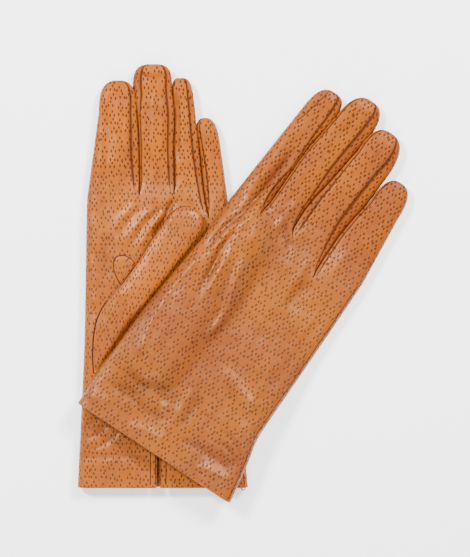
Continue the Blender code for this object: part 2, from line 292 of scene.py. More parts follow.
class Skin:
    """Grids of points in a glove's frame that are welded where they meet. Pieces are cut from it."""

    def __init__(self, glove):
        self.glove = glove
        # seams holds each point's seam mark: dark joints, with painted shade in their grooves, on the walls
        # between the fingers and round the fingertips
        self.points, self.maps, self.seams, self.free = [], [], [], []
        self.quads, self.owners = [], []
        self.seam_ids, self.hand_ids = {}, {}
        self.count = 0

    def grid(self, piece, points, across, dark=None, flip=False, free=0.0):
        """Adds a grid (rows, columns, 3) and returns the numbers of its points. across is each point's
        place across the leather, which with v places the pores."""
        rows, columns = points.shape[:2]
        ids = self.count + np.arange(rows * columns).reshape(rows, columns)
        self.count += rows * columns
        self.points.append(points.reshape(-1, 3))
        self.maps.append(np.stack([across, points[..., 1]], axis=-1).reshape(-1, 2))
        self.seams.append((np.zeros((rows, columns)) if dark is None else dark).reshape(-1))
        self.free.append((np.zeros((rows, columns)) + free).reshape(-1))
        quads = grid_faces(ids)
        if flip != (not self.glove.palm_up):
            quads = quads[:, ::-1]
        self.quads.append(quads)
        self.owners += [piece] * len(quads)
        return ids

    def weld(self):
        """Joins points that meet, lays the skin on the table and finds its normals."""
        points = np.concatenate(self.points)
        keys = np.round(points * 1e3).astype(np.int64)
        _, first, self.joined = np.unique(keys, axis=0, return_index=True, return_inverse=True)
        self.joined = self.joined.reshape(-1)
        flat = points[first]
        free = np.concatenate(self.free)[first]
        # The seam mark: dark joints, with painted shade in their grooves, between the fingers and at the
        # fingertips
        seam = np.zeros(len(flat))
        np.maximum.at(seam, self.joined, np.concatenate(self.seams))
        rise, valley = relief(self.glove, flat)
        flat[:, 2] += rise
        knuckle_v = self.glove.knuckle_v
        dull = smooth_step(knuckle_v, knuckle_v + DULL_REACH, flat[:, 1])
        self.shades = np.stack([seam, valley, dull], axis=1)
        self.table = self.glove.to_table(flat, free)
        raw = np.concatenate(self.quads)
        self.faces = self.joined[raw]
        self.face_maps = np.concatenate(self.maps)[raw]
        self.normals = point_normals(self.table, self.faces)
        self.tree = BVHTree.FromPolygons(self.table.tolist(), self.faces.tolist())

    def line(self, ids):
        """The table points and normals along a row or column of grid numbers."""
        found = self.joined[np.asarray(ids)]
        return self.table[found], self.normals[found]

    def drop(self, path, palm_side):
        """Points and normals where a path of (u, v) points meets the skin's palm or back side."""
        up = self.glove.up_sign(palm_side)
        spots, normals = [], []
        for u, v in path:
            start = Vector(self.glove.to_table(np.array([u, v, MIDDLE])))
            start.z = up * 0.2
            spot, normal, _, _ = self.tree.ray_cast(start, Vector((0, 0, -up)))
            if spot is None:
                continue
            spots.append(spot)
            normals.append(normal)
        return np.array(spots), np.array(normals)

    def piece(self, name, look):
        """The leather piece of that name: its outer faces, the same faces inside, and its cut edge."""
        mine = np.array([owner == name for owner in self.owners])
        faces, maps = self.faces[mine], self.face_maps[mine]
        used, local = np.unique(faces, return_inverse=True)
        local = local.reshape(faces.shape)
        outer, normals = self.table[used], self.normals[used]
        return leather(name, outer, normals, local, maps, self.shades[used], look, LEATHER)


def grid_faces(ids):
    """The quads between the rows and columns of a grid of point numbers."""
    return np.stack([ids[:-1, :-1], ids[:-1, 1:], ids[1:, 1:], ids[1:, :-1]], axis=-1).reshape(-1, 4)


def point_normals(points, faces):
    """Smooth normals at the points of a mesh of quads."""
    corners = points[faces]
    normal = np.cross(corners[:, 2] - corners[:, 0], corners[:, 3] - corners[:, 1])
    normals = np.zeros_like(points)
    for k in range(4):
        np.add.at(normals, faces[:, k], normal)
    return unit(normals)


class Sheet:
    """The polygons of a piece of leather, with their places on it, their normals and their materials."""

    OUTSIDE, INSIDE = 0, 1

    def __init__(self):
        self.polygons, self.places, self.normals, self.materials = [], [], [], []

    def add(self, ring, places, normals, material):
        self.polygons.append(ring)
        self.places += places
        self.normals += normals
        self.materials.append(material)


def closed_sheet(points, normals, faces, maps):
    """The outer faces, the same faces inside, and the cut edge. The inner points follow the outer ones."""
    sheet = Sheet()
    count = len(normals)
    edges = {}
    for corners, spots in zip(faces.tolist(), maps.tolist()):
        keep = [k for k in range(4) if corners[k] != corners[k - 1]]
        if len(keep) < 3:
            continue
        ring = [corners[k] for k in keep]
        marks = [spots[k] for k in keep]
        back = ring[::-1]
        sheet.add(ring, marks, [normals[k] for k in ring], Sheet.OUTSIDE)
        sheet.add([k + count for k in back], marks[::-1], [-normals[k] for k in back], Sheet.INSIDE)
        for k, start in enumerate(ring):
            end = ring[(k + 1) % len(ring)]
            if (end, start) in edges:
                del edges[(end, start)]
            else:
                edges[(start, end)] = (marks[k], marks[(k + 1) % len(ring)])
    for (start, end), (first, second) in edges.items():
        side = np.cross(points[end] - points[start], normals[start])
        side = side / max(np.linalg.norm(side), 1e-12)
        ring = [end, start, start + count, end + count]
        sheet.add(ring, [second, first, first, second], [side] * 4, Sheet.INSIDE)
    return sheet


def leather(name, outer, normals, faces, maps, shades, look, thick):
    """A closed piece of leather from its outer surface: faces index the points, and the inner surface is
    thick millimetres below it."""
    points = np.concatenate([outer, outer - normals * thick * MM])
    sheet = closed_sheet(points, normals, faces, maps)
    mesh = bpy.data.meshes.new(name)
    mesh.from_pydata(points.tolist(), [], sheet.polygons)
    layer = mesh.uv_layers.new(name="leather_mm")
    layer.data.foreach_set("uv", np.array(sheet.places, np.float32).ravel())
    for column, attribute_name in enumerate(SHADES):
        shade = mesh.attributes.new(attribute_name, "FLOAT", "POINT")
        shade.data.foreach_set("value", np.tile(shades[:, column], 2).astype(np.float32))
    mesh.materials.append(finish(look))
    mesh.materials.append(finish("flesh_side"))
    mesh.polygons.foreach_set("material_index", sheet.materials)
    mesh.shade_smooth()
    mesh.normals_split_custom_set([tuple(n) for n in sheet.normals])
    return linked(name, mesh)


def linked(name, data):
    made = bpy.data.objects.new(name, data)
    bpy.context.scene.collection.objects.link(made)
    return made


# ---------------------------------------------------------------- relief of the leather


VALLEY_DEPTH = 2.0

# Waves of the leather: their lengths on the side that is seen and the other, and the other side's height
WAVE_LENGTHS = (26, 9)
UNDER_LENGTH, UNDER_HEIGHT = 22, 0.18
CUFF_CALM = 0.4


def fold_height(folds, u, v):
    """The height that folds add at points of a sheet."""
    total = np.zeros(len(u))
    spots = np.stack([u, v], axis=1)
    for fold in folds:
        path = smooth_path(fold.path)
        low, high = path.min(0) - 3 * fold.width, path.max(0) + 3 * fold.width
        near = np.flatnonzero(((spots > low) & (spots < high)).all(1))
        if not len(near):
            continue
        best = np.full(len(near), 1e9)
        share = np.zeros(len(near))
        for k, (a, b) in enumerate(zip(path[:-1], path[1:])):
            line = b - a
            t = np.clip((spots[near] - a) @ line / (line @ line), 0, 1)
            away = np.linalg.norm(spots[near] - a - t[:, None] * line, axis=1)
            closer = away < best
            best = np.where(closer, away, best)
            share = np.where(closer, (k + t) / (len(path) - 1), share)
        ends = smooth_step(0, fold.fade, share) * smooth_step(0, fold.fade, 1 - share)
        total[near] += fold.height * np.exp(-((best / fold.width) ** 2)) * ends
    return total


def ripple(u, v, seed, wavelength, count=14):
    """Soft irregular waves of about that wavelength, between about -1 and 1."""
    random = np.random.default_rng(seed)
    total = np.zeros(np.shape(u))
    for _ in range(count):
        angle = random.uniform(0, math.tau)
        stretch = random.uniform(0.7, 1.5)
        phase = random.uniform(0, math.tau)
        step = math.tau / (wavelength * stretch)
        total += np.sin(u * step * math.cos(angle) + v * step * math.sin(angle) * 0.7 + phase)
    return total / math.sqrt(count)


def relief(glove, flat):
    """What folds and waves add to the height w of points, and how deep in a valley each point is. The
    visible side has the folds."""
    u, v, w = flat.T
    share = np.clip((w - MIDDLE) / MIDDLE, -1, 1)
    high = np.abs(share) ** 2
    seen_side = 1 if glove.palm_up else -1
    seen = np.where(share * seen_side > 0, high, 0)
    hidden = high - seen
    calm = smooth_step(0, HEM_DEPTH, v) * (1 - CUFF_CALM) + CUFF_CALM
    seed, *heights = glove.waves
    long_waves, short_waves = (ripple(u, v, seed + k, WAVE_LENGTHS[k]) * heights[k] for k in (0, 1))
    waves = long_waves + short_waves
    under = ripple(u, v, seed + 2, UNDER_LENGTH) * UNDER_HEIGHT
    folds = fold_height(glove.folds, u, v)
    outwards = seen * (folds + waves * calm) + hidden * under
    return outwards * np.sign(share), seen * np.clip(-folds / VALLEY_DEPTH, 0, 1)


# ---------------------------------------------------------------- hand and fingers


def seam_profile(distance):
    """How high a panel is at a distance from its seam: low there, and level from SEAM_REACH on."""
    share = np.clip(distance / SEAM_REACH, 0, 1)
    return SEAM_LOW + (1 - SEAM_LOW) * (1 - (1 - share) ** 2)


def edge_profile(distance, radius):
    share = np.clip(distance / radius, 0, 1)
    return np.sqrt(np.maximum(0, 1 - (1 - share) ** 2))


def mark(glove, number, v):
    """Where the border between two panels of the hand runs below the fork, in u."""
    left, right = curve(glove.left_edge, v), curve(glove.right_edge, v)
    if number == 0:
        return left
    if number == 4:
        return right
    gap = glove.gaps[number - 1]
    at_cuff = (glove.vent_u - left) / (right - left) if number == VENT_MARK else number / 4
    fork_left, fork_right = curve(glove.left_edge, gap.fork_v), curve(glove.right_edge, gap.fork_v)
    at_fork = (gap.line[0][1] - fork_left) / (fork_right - fork_left)
    rise = smooth_step(VENT_LENGTH, gap.fork_v, v)
    return left + (right - left) * (at_cuff + (at_fork - at_cuff) * rise)


def gap_number(finger, outer):
    """The number of the gap or edge on that side of a finger, from 0 at the index edge to 4."""
    return finger + 1 if outer else finger


def side_line(glove, finger, v, outer):
    """A finger's own side in u, up to its shoulder, before the tip rounds it off."""
    shape = glove.fingers[finger]
    number = gap_number(finger, outer)
    end = shape.right if outer else shape.left
    if number in (0, 4):
        edge = glove.left_edge if number == 0 else glove.right_edge
        start_v = glove.knuckle_v
        start = curve(edge, start_v)
        return np.interp(v, [start_v, shape.shoulder_v], [start, end])
    gap = glove.gaps[number - 1]
    points = [p for p in gap.line if p[0] < shape.shoulder_v - 4]
    line = curve(points + [(shape.shoulder_v, end + (HALF_GAP if outer else -HALF_GAP))], v)
    apart = HALF_GAP * smooth_step(gap.fork_v, gap.fork_v + FORK_OPENING, v)
    return line - apart if outer else line + apart


def outline(glove, finger, v):
    """A finger's left and right sides in u, and its closing towards the tip, at v."""
    shape = glove.fingers[finger]
    left, right = side_line(glove, finger, v, False), side_line(glove, finger, v, True)
    closing = np.clip((v - shape.shoulder_v) / (shape.tip_v - shape.shoulder_v), 0, 1)
    shrink = np.maximum(0, 1 - closing ** shape.blunt) ** (1 / shape.blunt)
    middle = (left + right) / 2 + (shape.tip_u - (shape.left + shape.right) / 2) * closing
    half = (right - left) / 2 * shrink
    return middle - half, middle + half, shrink


def inset(glove, finger, v, outer, seen, shrink):
    """How far a seam lies in from the finger's side."""
    number = gap_number(finger, outer)
    gap = glove.gaps[number - 1]
    if seen:
        return curve(gap.outer if outer else gap.inner, v) * shrink
    return HIDDEN_INSET * smooth_step(gap.fork_v, gap.fork_v + HIDDEN_REACH, v) * shrink


def panel_borders(glove, finger, v, palm_side):
    """(left, right, left open, right open, shrink) of a finger's panel at one v, in the hand or beyond."""
    seen = palm_side == glove.palm_up
    left, right, shrink = outline(glove, finger, v)
    out = []
    for outer, side in ((False, left), (True, right)):
        number = gap_number(finger, outer)
        if number in (0, 4):
            is_open = 0.0
            place = side if v > glove.knuckle_v else mark(glove, number, v)
        elif v > glove.gaps[number - 1].fork_v:
            fork_v = glove.gaps[number - 1].fork_v
            is_open = float(smooth_step(fork_v, fork_v + FORK_SHOWING, v))
            move = inset(glove, finger, v, outer, seen, shrink)
            place = side - move if outer else side + move
        else:
            is_open = 0.0
            place = mark(glove, number, v)
            if number == VENT_MARK and palm_side and v < VENT_LENGTH:
                half = VENT_HALF_WIDTH * math.sqrt(1 - v / VENT_LENGTH)
                place = place - half if outer else place + half
        out.append((float(place), is_open))
    return out[0][0], out[1][0], out[0][1], out[1][1], float(shrink)


def row_offsets(finger, width, scale):
    """The places across a panel of its points, closer together where the glove's own edge is round."""
    angles = [math.pi / 2 * k / EDGE_COLUMNS for k in range(EDGE_COLUMNS)]
    rounding = [EDGE_ROUND * scale * (1 - math.cos(angle)) for angle in angles]
    from_edge = rounding[-1] + EDGE_LAND * scale
    from_seam = SEAM_STEP * scale
    low = from_edge if finger == 0 else from_seam
    high = width - (from_edge if finger == 3 else from_seam)
    start = rounding if finger == 0 else [0.0]
    end = [width - r for r in reversed(rounding)] if finger == 3 else [width]
    return np.array(start + list(np.linspace(low, high, PANEL_COLUMNS)) + end)


def panel_row(glove, finger, v, palm_side):
    """One row of a panel: its points, its places across the leather, and its darkness: at the seams, partly
    painted shade of their grooves, and painted shade towards the fingertip.
    """
    left, right, left_open, right_open, shrink = panel_borders(glove, finger, v, palm_side)
    width = right - left
    scale = min(1.0, width / FULL_WIDTH)
    across = row_offsets(finger, width, scale)
    height = np.full(len(across), MIDDLE * shrink ** TIP_FALL)
    if finger == 0:
        height *= edge_profile(across, EDGE_ROUND * max(scale, 1e-6))
    else:
        height *= 1 - left_open * (1 - seam_profile(across))
    if finger == 3:
        height *= edge_profile(width - across, EDGE_ROUND * max(scale, 1e-6))
    else:
        height *= 1 - right_open * (1 - seam_profile(width - across))
    dark = np.zeros(len(across))
    if finger > 0:
        height[0] -= SEAM_DENT * left_open * shrink
        dark[0] = left_open
    if finger < 3:
        height[-1] -= SEAM_DENT * right_open * shrink
        dark[-1] = right_open
    # Painted shade towards the fingertip, where the tip rolls down
    dark = np.maximum(dark, TIP_SHADE * (1 - shrink))
    up = 1 if palm_side else -1
    points = np.stack([left + across, np.full(len(across), v), MIDDLE + up * height], axis=1)
    centre = len(across) // 2
    steps = np.hypot(np.diff(across), np.diff(height))
    run = np.concatenate([[0.0], np.cumsum(steps)])
    return points, left + across[centre] + run - run[centre], dark


def wall_row(glove, finger, v, outer, top, bottom):
    """One row of a finger's side wall, from its palm seam round to its back seam."""
    left, right, _ = outline(glove, finger, v)
    side = float(right if outer else left)
    rows = []
    for angle in np.linspace(0, math.pi, WALL_COLUMNS + 1):
        end = top if angle < math.pi / 2 else bottom
        tall = min(1.0, abs(end[2] - MIDDLE) / MIDDLE)
        lean = WALL_LEAN * 2 * math.cos(angle) * math.sin(angle) ** 2 * tall
        u = side + (end[0] - side) * (1 - math.sin(angle)) + lean
        puff = WALL_PUFF * min(1.0, abs(end[0] - side)) * abs(math.sin(2 * angle))
        rise = end[2] - MIDDLE
        w = MIDDLE + rise * abs(math.cos(angle)) ** WALL_FULLNESS + math.copysign(puff, rise)
        rows.append((u, v, w))
    rows = np.array(rows)
    rows[0], rows[-1] = top, bottom
    return rows, distances(rows)


def rows_to_tip(root, shoulder, tip):
    """Even rows from a root to a shoulder, and closer and closer ones from there to the tip."""
    straight = list(np.linspace(root, shoulder, round((shoulder - root) / ROW_STEP) + 1))
    angles = [math.pi / 2 * k / TIP_ROWS for k in range(1, TIP_ROWS + 1)]
    return straight + [shoulder + (tip - shoulder) * math.sin(angle) for angle in angles]


def row_places(glove, finger):
    """The v of every row: of the hand up to the knuckles, and of the finger beyond them."""
    marks = sorted({0.0, VENT_LENGTH, glove.knuckle_v, *(gap.fork_v for gap in glove.gaps)})
    hand = [0.0]
    for low, high in zip(marks, marks[1:]):
        count = max(1, round((high - low) / ROW_STEP))
        hand += [low + (high - low) * (k + 1) / count for k in range(count)]
    shape = glove.fingers[finger]
    return hand, rows_to_tip(glove.knuckle_v, shape.shoulder_v, shape.tip_v)


def panel_names(glove, finger, palm_side):
    """The piece that a panel belongs to in the hand, and beyond the knuckles."""
    side, name = glove.side, FINGER_NAMES[finger]
    hand = f"{side}_palm" if palm_side else f"{side}_back"
    if finger == 0:
        return hand, f"{side}_index_stall"
    return hand, f"{side}_{name}_{'palm' if palm_side else 'back'}_strip"


def make_skin(glove):
    """The whole skin of one hand: four panels on the palm and on the back, and the side walls."""
    skin = Skin(glove)
    for finger in range(4):
        hand_rows, finger_rows = row_places(glove, finger)
        panels = {}
        for part, places in (("hand", hand_rows), ("finger", finger_rows)):
            for palm_side in (True, False):
                rows = [panel_row(glove, finger, v, palm_side) for v in places]
                points, across, dark = (np.stack(column) for column in zip(*rows))
                names = panel_names(glove, finger, palm_side)
                across = across + (0 if palm_side else BACK_START)
                ids = skin.grid(names[part == "finger"], points, across, dark, flip=not palm_side)
                panels[part, palm_side] = points, ids, across
        skin.hand_ids[finger] = {side: panels["hand", side][1] for side in (True, False)}
        for outer in (False, True):
            number = gap_number(finger, outer)
            if number in (0, 4):
                continue
            add_wall(skin, glove, finger, outer, panels, hand_rows, finger_rows)
    skin.weld()
    return skin


def add_wall(skin, glove, finger, outer, panels, hand_rows, finger_rows):
    """The wall of a finger towards its neighbour, with its short root in the hand."""
    number = gap_number(finger, outer)
    fork_v = glove.gaps[number - 1].fork_v
    column = -1 if outer else 0
    side = "outer" if outer else "inner"
    name = f"{glove.side}_{FINGER_NAMES[finger]}_{side}_fourchette"
    for part, places in (("hand", hand_rows), ("finger", finger_rows)):
        chosen = [i for i, v in enumerate(places) if v >= fork_v - 1e-6]
        if len(chosen) < 2:
            continue
        top, bottom = (panels[part, palm_side][0][:, column] for palm_side in (True, False))
        rows = [wall_row(glove, finger, places[i], outer, top[i], bottom[i]) for i in chosen]
        points = np.stack([row[0] for row in rows])
        across = np.stack([row[1] for row in rows]) + WALL_START + WALL_SPACING * finger
        opened = smooth_step(fork_v, fork_v + FORK_SHOWING, np.array([places[i] for i in chosen]))
        round_wall = np.sin(np.linspace(0, math.pi, WALL_COLUMNS + 1))
        # Painted shade across the wall between the fingers, with the dark of its seams at its two edges
        dark = opened[:, None] * WALL_SHADE * round_wall ** WALL_SHADE_POWER
        dark[:, 0] = dark[:, -1] = opened
        piece = name if part == "finger" else f"{glove.side}_fork_gusset"
        skin.grid(piece, points, across, dark, flip=not outer)
    for palm_side in (True, False):
        line = []
        for part, places in (("hand", hand_rows), ("finger", finger_rows)):
            start = 1 if part == "finger" else 0
            ids = panels[part, palm_side][1][start:, column]
            line += [(part, k) for k, v in zip(ids, places[start:]) if v > fork_v + 1]
        skin.seam_ids[finger, side, palm_side] = line


def attach(piece, glove, name, slot, *nodes):
    """Rides a piece on the hand; a piece of a finger or thumb is left fixed where it lies."""
    if nodes:
        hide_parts(*nodes)
    hand = f"{glove.side}_hand"
    if name == "hand":
        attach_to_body(piece, hand)
        return piece
    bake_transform(piece)
    return piece


# ---------------------------------------------------------------- stitches


STITCH_STEP, STITCH_LENGTH, STITCH_RADIUS = 1.9, 1.5, 0.14
STITCH_SINK, STITCH_FLOAT, STITCH_FLAT = 0.05, 0.6, 0.8
STITCH_RINGS = ((-1.0, 0.15), (-0.8, 0.75), (-0.3, 1.0), (0.3, 1.0), (0.8, 0.75), (1.0, 0.15))
STITCH_SIDES = 6
# The dark crease along a seam: the seam line, partly painted shade of its groove
CREASE_RADIUS, CREASE_FLAT = 0.3, 0.5
CREASE_SIDES = 5
CREASE_STEP = 0.8


class Bodies:
    """Closed bodies, each drawn through rings of points, gathered for one mesh."""

    def __init__(self):
        self.points, self.faces = [], []

    def add(self, rings):
        count, sides = rings.shape[:2]
        base = len(self.points)
        self.points += rings.reshape(-1, 3).tolist()
        for row in range(count - 1):
            for k in range(sides):
                a = base + row * sides + k
                b = base + row * sides + (k + 1) % sides
                self.faces.append((a, b, b + sides, a + sides))
        last = base + (count - 1) * sides
        self.faces.append(tuple(base + k for k in reversed(range(sides))))
        self.faces.append(tuple(last + k for k in range(sides)))

    def make(self, name):
        mesh = bpy.data.meshes.new(name)
        mesh.from_pydata(self.points, [], self.faces)
        mesh.materials.append(finish("thread"))
        mesh.shade_smooth()
        return linked(name, mesh)


def resample(points, normals, step):
    """Even steps along a path of points, with directions and normals."""
    along = distances(points)
    count = int(along[-1] / step)
    if count < 1:
        return np.zeros((0, 3)), np.zeros((0, 3)), np.zeros((0, 3))
    at = (np.arange(count) + 0.5) * along[-1] / count

    def read(table, places):
        return np.stack([np.interp(places, along, table[:, k]) for k in range(3)], axis=1)

    way = unit(read(points, at + 1e-4) - read(points, at - 1e-4))
    up = read(normals, at)
    up -= (up * way).sum(1, keepdims=True) * way
    return read(points, at), way, unit(up)


def crease(name, lines, radius):
    """A dark cord drawn along paths, each given as (points, normals) on the table. Along a seam it is the
    seam line and painted shade of its groove.
    """
    bodies = Bodies()
    angles = [math.tau * k / CREASE_SIDES for k in range(CREASE_SIDES)]
    for points, normals in lines:
        spots, way, up = resample(points, normals, CREASE_STEP * MM)
        over = np.cross(way, up)
        ring = [over * math.cos(a) + up * math.sin(a) * CREASE_FLAT for a in angles]
        bodies.add(np.stack([spots + side * radius * MM for side in ring], axis=1))
    return bodies.make(name)


def stitches(name, lines):
    """Rows of short stitches along paths, each given as (points, normals) on the table."""
    bodies = Bodies()
    angles = [math.tau * k / STITCH_SIDES for k in range(STITCH_SIDES)]
    for points, normals in lines:
        spots, way, up = resample(points, normals, STITCH_STEP * MM)
        over = np.cross(way, up)
        rings = []
        for along, wide in STITCH_RINGS:
            centre = spots + way * along * STITCH_LENGTH / 2 * MM
            centre = centre + up * (wide * STITCH_FLOAT * STITCH_RADIUS - STITCH_SINK) * MM
            reach = STITCH_RADIUS * wide * MM
            sides = [centre + (over * math.cos(a) + up * math.sin(a) * STITCH_FLAT) * reach for a in angles]
            rings.append(np.stack(sides, axis=1))
        for stitch in np.stack(rings, axis=1):
            bodies.add(stitch)
    return bodies.make(name)


def add_seam(name, glove, rider, lines, radius=CREASE_RADIUS):
    """A seam away from the panels' own borders: a dark crease, partly painted shade of the seam's groove,
    with a row of stitches on it.
    """
    lines = [line for line in lines if len(line[0]) > 1]
    attach(crease(f"{name}_crease", lines, radius), glove, rider, "leather")
    attach(stitches(f"{name}_stitches", lines), glove, rider, "leather")


LOOSE_THREAD = ((47.6, 1.2), (48.9, -0.3), (48.6, -1.7), (47.4, -2.1), (46.5, -1.2), (46.9, 0.9))
LOOSE_THREAD_POINTS = 26
LOOSE_THREAD_W = MIDDLE + 1.5


def add_loose_thread(glove):
    """The end of the outseam's thread, left as a small loop at the cuff's corner."""
    path = smooth_path(LOOSE_THREAD, LOOSE_THREAD_POINTS)
    spots = glove.to_table(np.column_stack([path, np.full(len(path), LOOSE_THREAD_W)]))
    normals = np.tile([0.0, 0.0, 1.0], (len(path), 1))
    add_seam(f"{glove.side}_loose_thread", glove, "hand", [(spots, normals)])


# ---------------------------------------------------------------- thumb


def ring_points(left, right, side_w, top, bottom):
    """A closed ring through a left and right (u, v) point: side_w is its height at the sides."""
    out = []
    for angle in np.linspace(0, math.tau, THUMB_COLUMNS + 1):
        c, s = math.cos(angle), math.sin(angle)
        across = math.copysign(abs(c) ** THUMB_ROUND, c)
        up = abs(s) ** THUMB_ROUND * ((top - side_w) if s > 0 else (bottom - side_w))
        u = (left[0] + right[0]) / 2 + (right[0] - left[0]) / 2 * across
        v = (left[1] + right[1]) / 2 + (right[1] - left[1]) / 2 * across
        out.append((u, v, side_w + up))
    out[-1] = out[0]
    return np.array(out)


def stall_rings(glove):
    """The rings of the thumb itself, from its base to its tip."""
    thumb = glove.thumb
    start = thumb.length * THUMB_STRAIGHT
    rings = []
    for distance in rows_to_tip(0, start, thumb.length):
        closing = max(0.0, (distance - start) / (thumb.length - start))
        shrink = max(0.0, 1 - closing ** THUMB_BLUNT) ** (1 / THUMB_BLUNT)
        left, right = curve(thumb.left, distance), curve(thumb.right, distance)
        centre = (right - left) / 2
        half = (left + right) / 2 * shrink
        fall = shrink ** TIP_FALL
        rings.append(ring_points(
            glove.thumb_point(distance, centre - half),
            glove.thumb_point(distance, centre + half),
            THUMB_MIDDLE,
            THUMB_MIDDLE + (THUMB_TOP - THUMB_MIDDLE) * fall,
            THUMB_MIDDLE + (THUMB_FLOOR - THUMB_MIDDLE) * fall,
        ))
    return rings


def hood_rings(glove):
    """The rings of the thumb's base, from the thumb down to the wrist, where it runs into the palm."""
    thumb = glove.thumb
    root = (*glove.thumb_point(0, -curve(thumb.left, 0)), *glove.thumb_point(0, curve(thumb.right, 0)))
    stations = [(*root, THUMB_TOP - THICK, THUMB_MIDDLE)]
    for k, station in enumerate(thumb.hood):
        stations.append((*station, THICK + (HOOD_ROOT_LIFT if k == 0 else HOOD_SINK)))
    columns = np.array(stations)
    last = len(columns) - 1
    at = np.linspace(0, last, last * HOOD_STEPS + 1)
    smooth = np.stack([curve(list(enumerate(column)), at) for column in columns.T], axis=1)
    rings = []
    for lu, lv, ru, rv, height, side_w in smooth:
        top = THICK + height
        bottom = min(THUMB_FLOOR, side_w - 0.05)
        rings.append(ring_points((lu, lv), (ru, rv), min(side_w, top - 0.02), top, bottom))
    return rings


def make_thumb_skin(glove):
    skin = Skin(glove)
    skin.stall_ids = add_rings(skin, f"{glove.side}_thumb_stall", stall_rings(glove), False)
    add_rings(skin, f"{glove.side}_thumb_base", hood_rings(glove), True)
    skin.weld()
    return skin


def add_rings(skin, name, rings, downwards):
    points = np.stack(rings)
    steps = np.linalg.norm(np.diff(points, axis=1), axis=2)
    run = np.concatenate([np.zeros((len(points), 1)), np.cumsum(steps, axis=1)], axis=1)
    quarter = THUMB_COLUMNS // 4
    across = points[:, quarter, :1] - (run - run[:, quarter:quarter + 1]) + THUMB_START
    free = 1.0
    if downwards:
        share = np.clip(1 - np.arange(len(points)) / HOOD_FREE_ROWS, 0, 1)
        free = share[:, None] * np.ones(points.shape[:2])
    return skin.grid(name, points, across, flip=not downwards, free=free)


# ---------------------------------------------------------------- materials


MADE = {}


def math_node(tree, operation, first, second=None, third=None, clamp=False):
    made = tree.nodes.new("ShaderNodeMath")
    made.operation = operation
    made.use_clamp = clamp
    for socket, value in zip(made.inputs, (first, second, third)):
        connect(tree, value, socket)
    return made.outputs[0]


def times(tree, first, second):
    return math_node(tree, "MULTIPLY", first, second)


def connect(tree, value, socket):
    if value is None:
        return
    if isinstance(value, bpy.types.NodeSocket):
        tree.links.new(value, socket)
    else:
        socket.default_value = value


def vector_node(tree, operation, first, second=None):
    made = tree.nodes.new("ShaderNodeVectorMath")
    made.operation = operation
    connect(tree, first, made.inputs[0])
    connect(tree, second, made.inputs[1])
    return made.outputs["Value" if operation in ("LENGTH", "DISTANCE") else "Vector"]


def noise(tree, vector, scale, detail=3.0, roughness=0.55):
    made = tree.nodes.new("ShaderNodeTexNoise")
    connect(tree, vector, made.inputs["Vector"])
    made.inputs["Scale"].default_value = scale
    made.inputs["Detail"].default_value = detail
    made.inputs["Roughness"].default_value = roughness
    return made.outputs["Fac"]


def ranged(tree, value, low, high, to_low=0.0, to_high=1.0):
    made = tree.nodes.new("ShaderNodeMapRange")
    made.interpolation_type = "SMOOTHSTEP"
    connect(tree, value, made.inputs["Value"])
    for key, number in (("From Min", low), ("From Max", high), ("To Min", to_low), ("To Max", to_high)):
        made.inputs[key].default_value = number
    return made.outputs["Result"]


def mixed(tree, share, first, second, way="MIX"):
    made = tree.nodes.new("ShaderNodeMix")
    made.data_type = "RGBA"
    made.blend_type = way
    connect(tree, share, made.inputs["Factor"])
    connect(tree, first, made.inputs["A"])
    connect(tree, second, made.inputs["B"])
    return made.outputs["Result"]


def attribute(tree, name):
    made = tree.nodes.new("ShaderNodeAttribute")
    made.attribute_name = name
    return made.outputs["Fac"]


# Pores come in threes: the size of a group, their places in it, half their size, and how far a group
# is moved at random, in millimetres
PORE_GROUP = 5.1
PORES = ((-1.3, -0.8), (1.25, -0.95), (0.0, 1.35))
PORE_HALF = (0.48, 0.92)
PORE_SHAKE = 0.25


def pores(tree, place):
    """1 in the pores, 0 in the leather between them, from the place on the leather in millimetres."""
    cells = tree.nodes.new("ShaderNodeTexVoronoi")
    cells.voronoi_dimensions = "2D"
    cells.inputs["Randomness"].default_value = 0.35
    cells.inputs["Scale"].default_value = 1 / PORE_GROUP
    tree.links.new(place, cells.inputs["Vector"])
    offset = vector_node(tree, "SUBTRACT", place, cells.outputs["Position"])
    shake = vector_node(tree, "MULTIPLY", cells.outputs["Color"], (2 * PORE_SHAKE, 2 * PORE_SHAKE, 0.0))
    offset = vector_node(tree, "SUBTRACT", offset, shake)
    nearest = None
    for across, along in PORES:
        apart = vector_node(tree, "SUBTRACT", offset, (across - PORE_SHAKE, along - PORE_SHAKE, 0.0))
        apart = vector_node(tree, "MULTIPLY", apart, (1 / PORE_HALF[0], 1 / PORE_HALF[1], 0.0))
        away = vector_node(tree, "LENGTH", apart)
        nearest = away if nearest is None else math_node(tree, "MINIMUM", nearest, away)
    return ranged(tree, nearest, 0.75, 1.2, 1.0, 0.0)


# Each look: main colour, its other shade, roughness, how strong the pores are
LOOKS = {
    "left_leather": ((0.262, 0.064, 0.0020), (0.195, 0.043, 0.005), 0.37, 1.0),
    "left_fourchette": ((0.215, 0.050, 0.003), (0.155, 0.033, 0.005), 0.42, 1.0),
    "right_leather": ((0.218, 0.054, 0.0030), (0.165, 0.038, 0.009), 0.37, 1.0),
    "right_fourchette": ((0.190, 0.043, 0.003), (0.140, 0.029, 0.005), 0.42, 1.0),
    "flesh_side": ((0.36, 0.13, 0.030), (0.29, 0.10, 0.022), 0.85, 0.0),
    "hem": ((0.25, 0.068, 0.005), (0.19, 0.046, 0.008), 0.45, 0.6),
}
PORE_COLOUR = (0.045, 0.009, 0.003, 1.0)
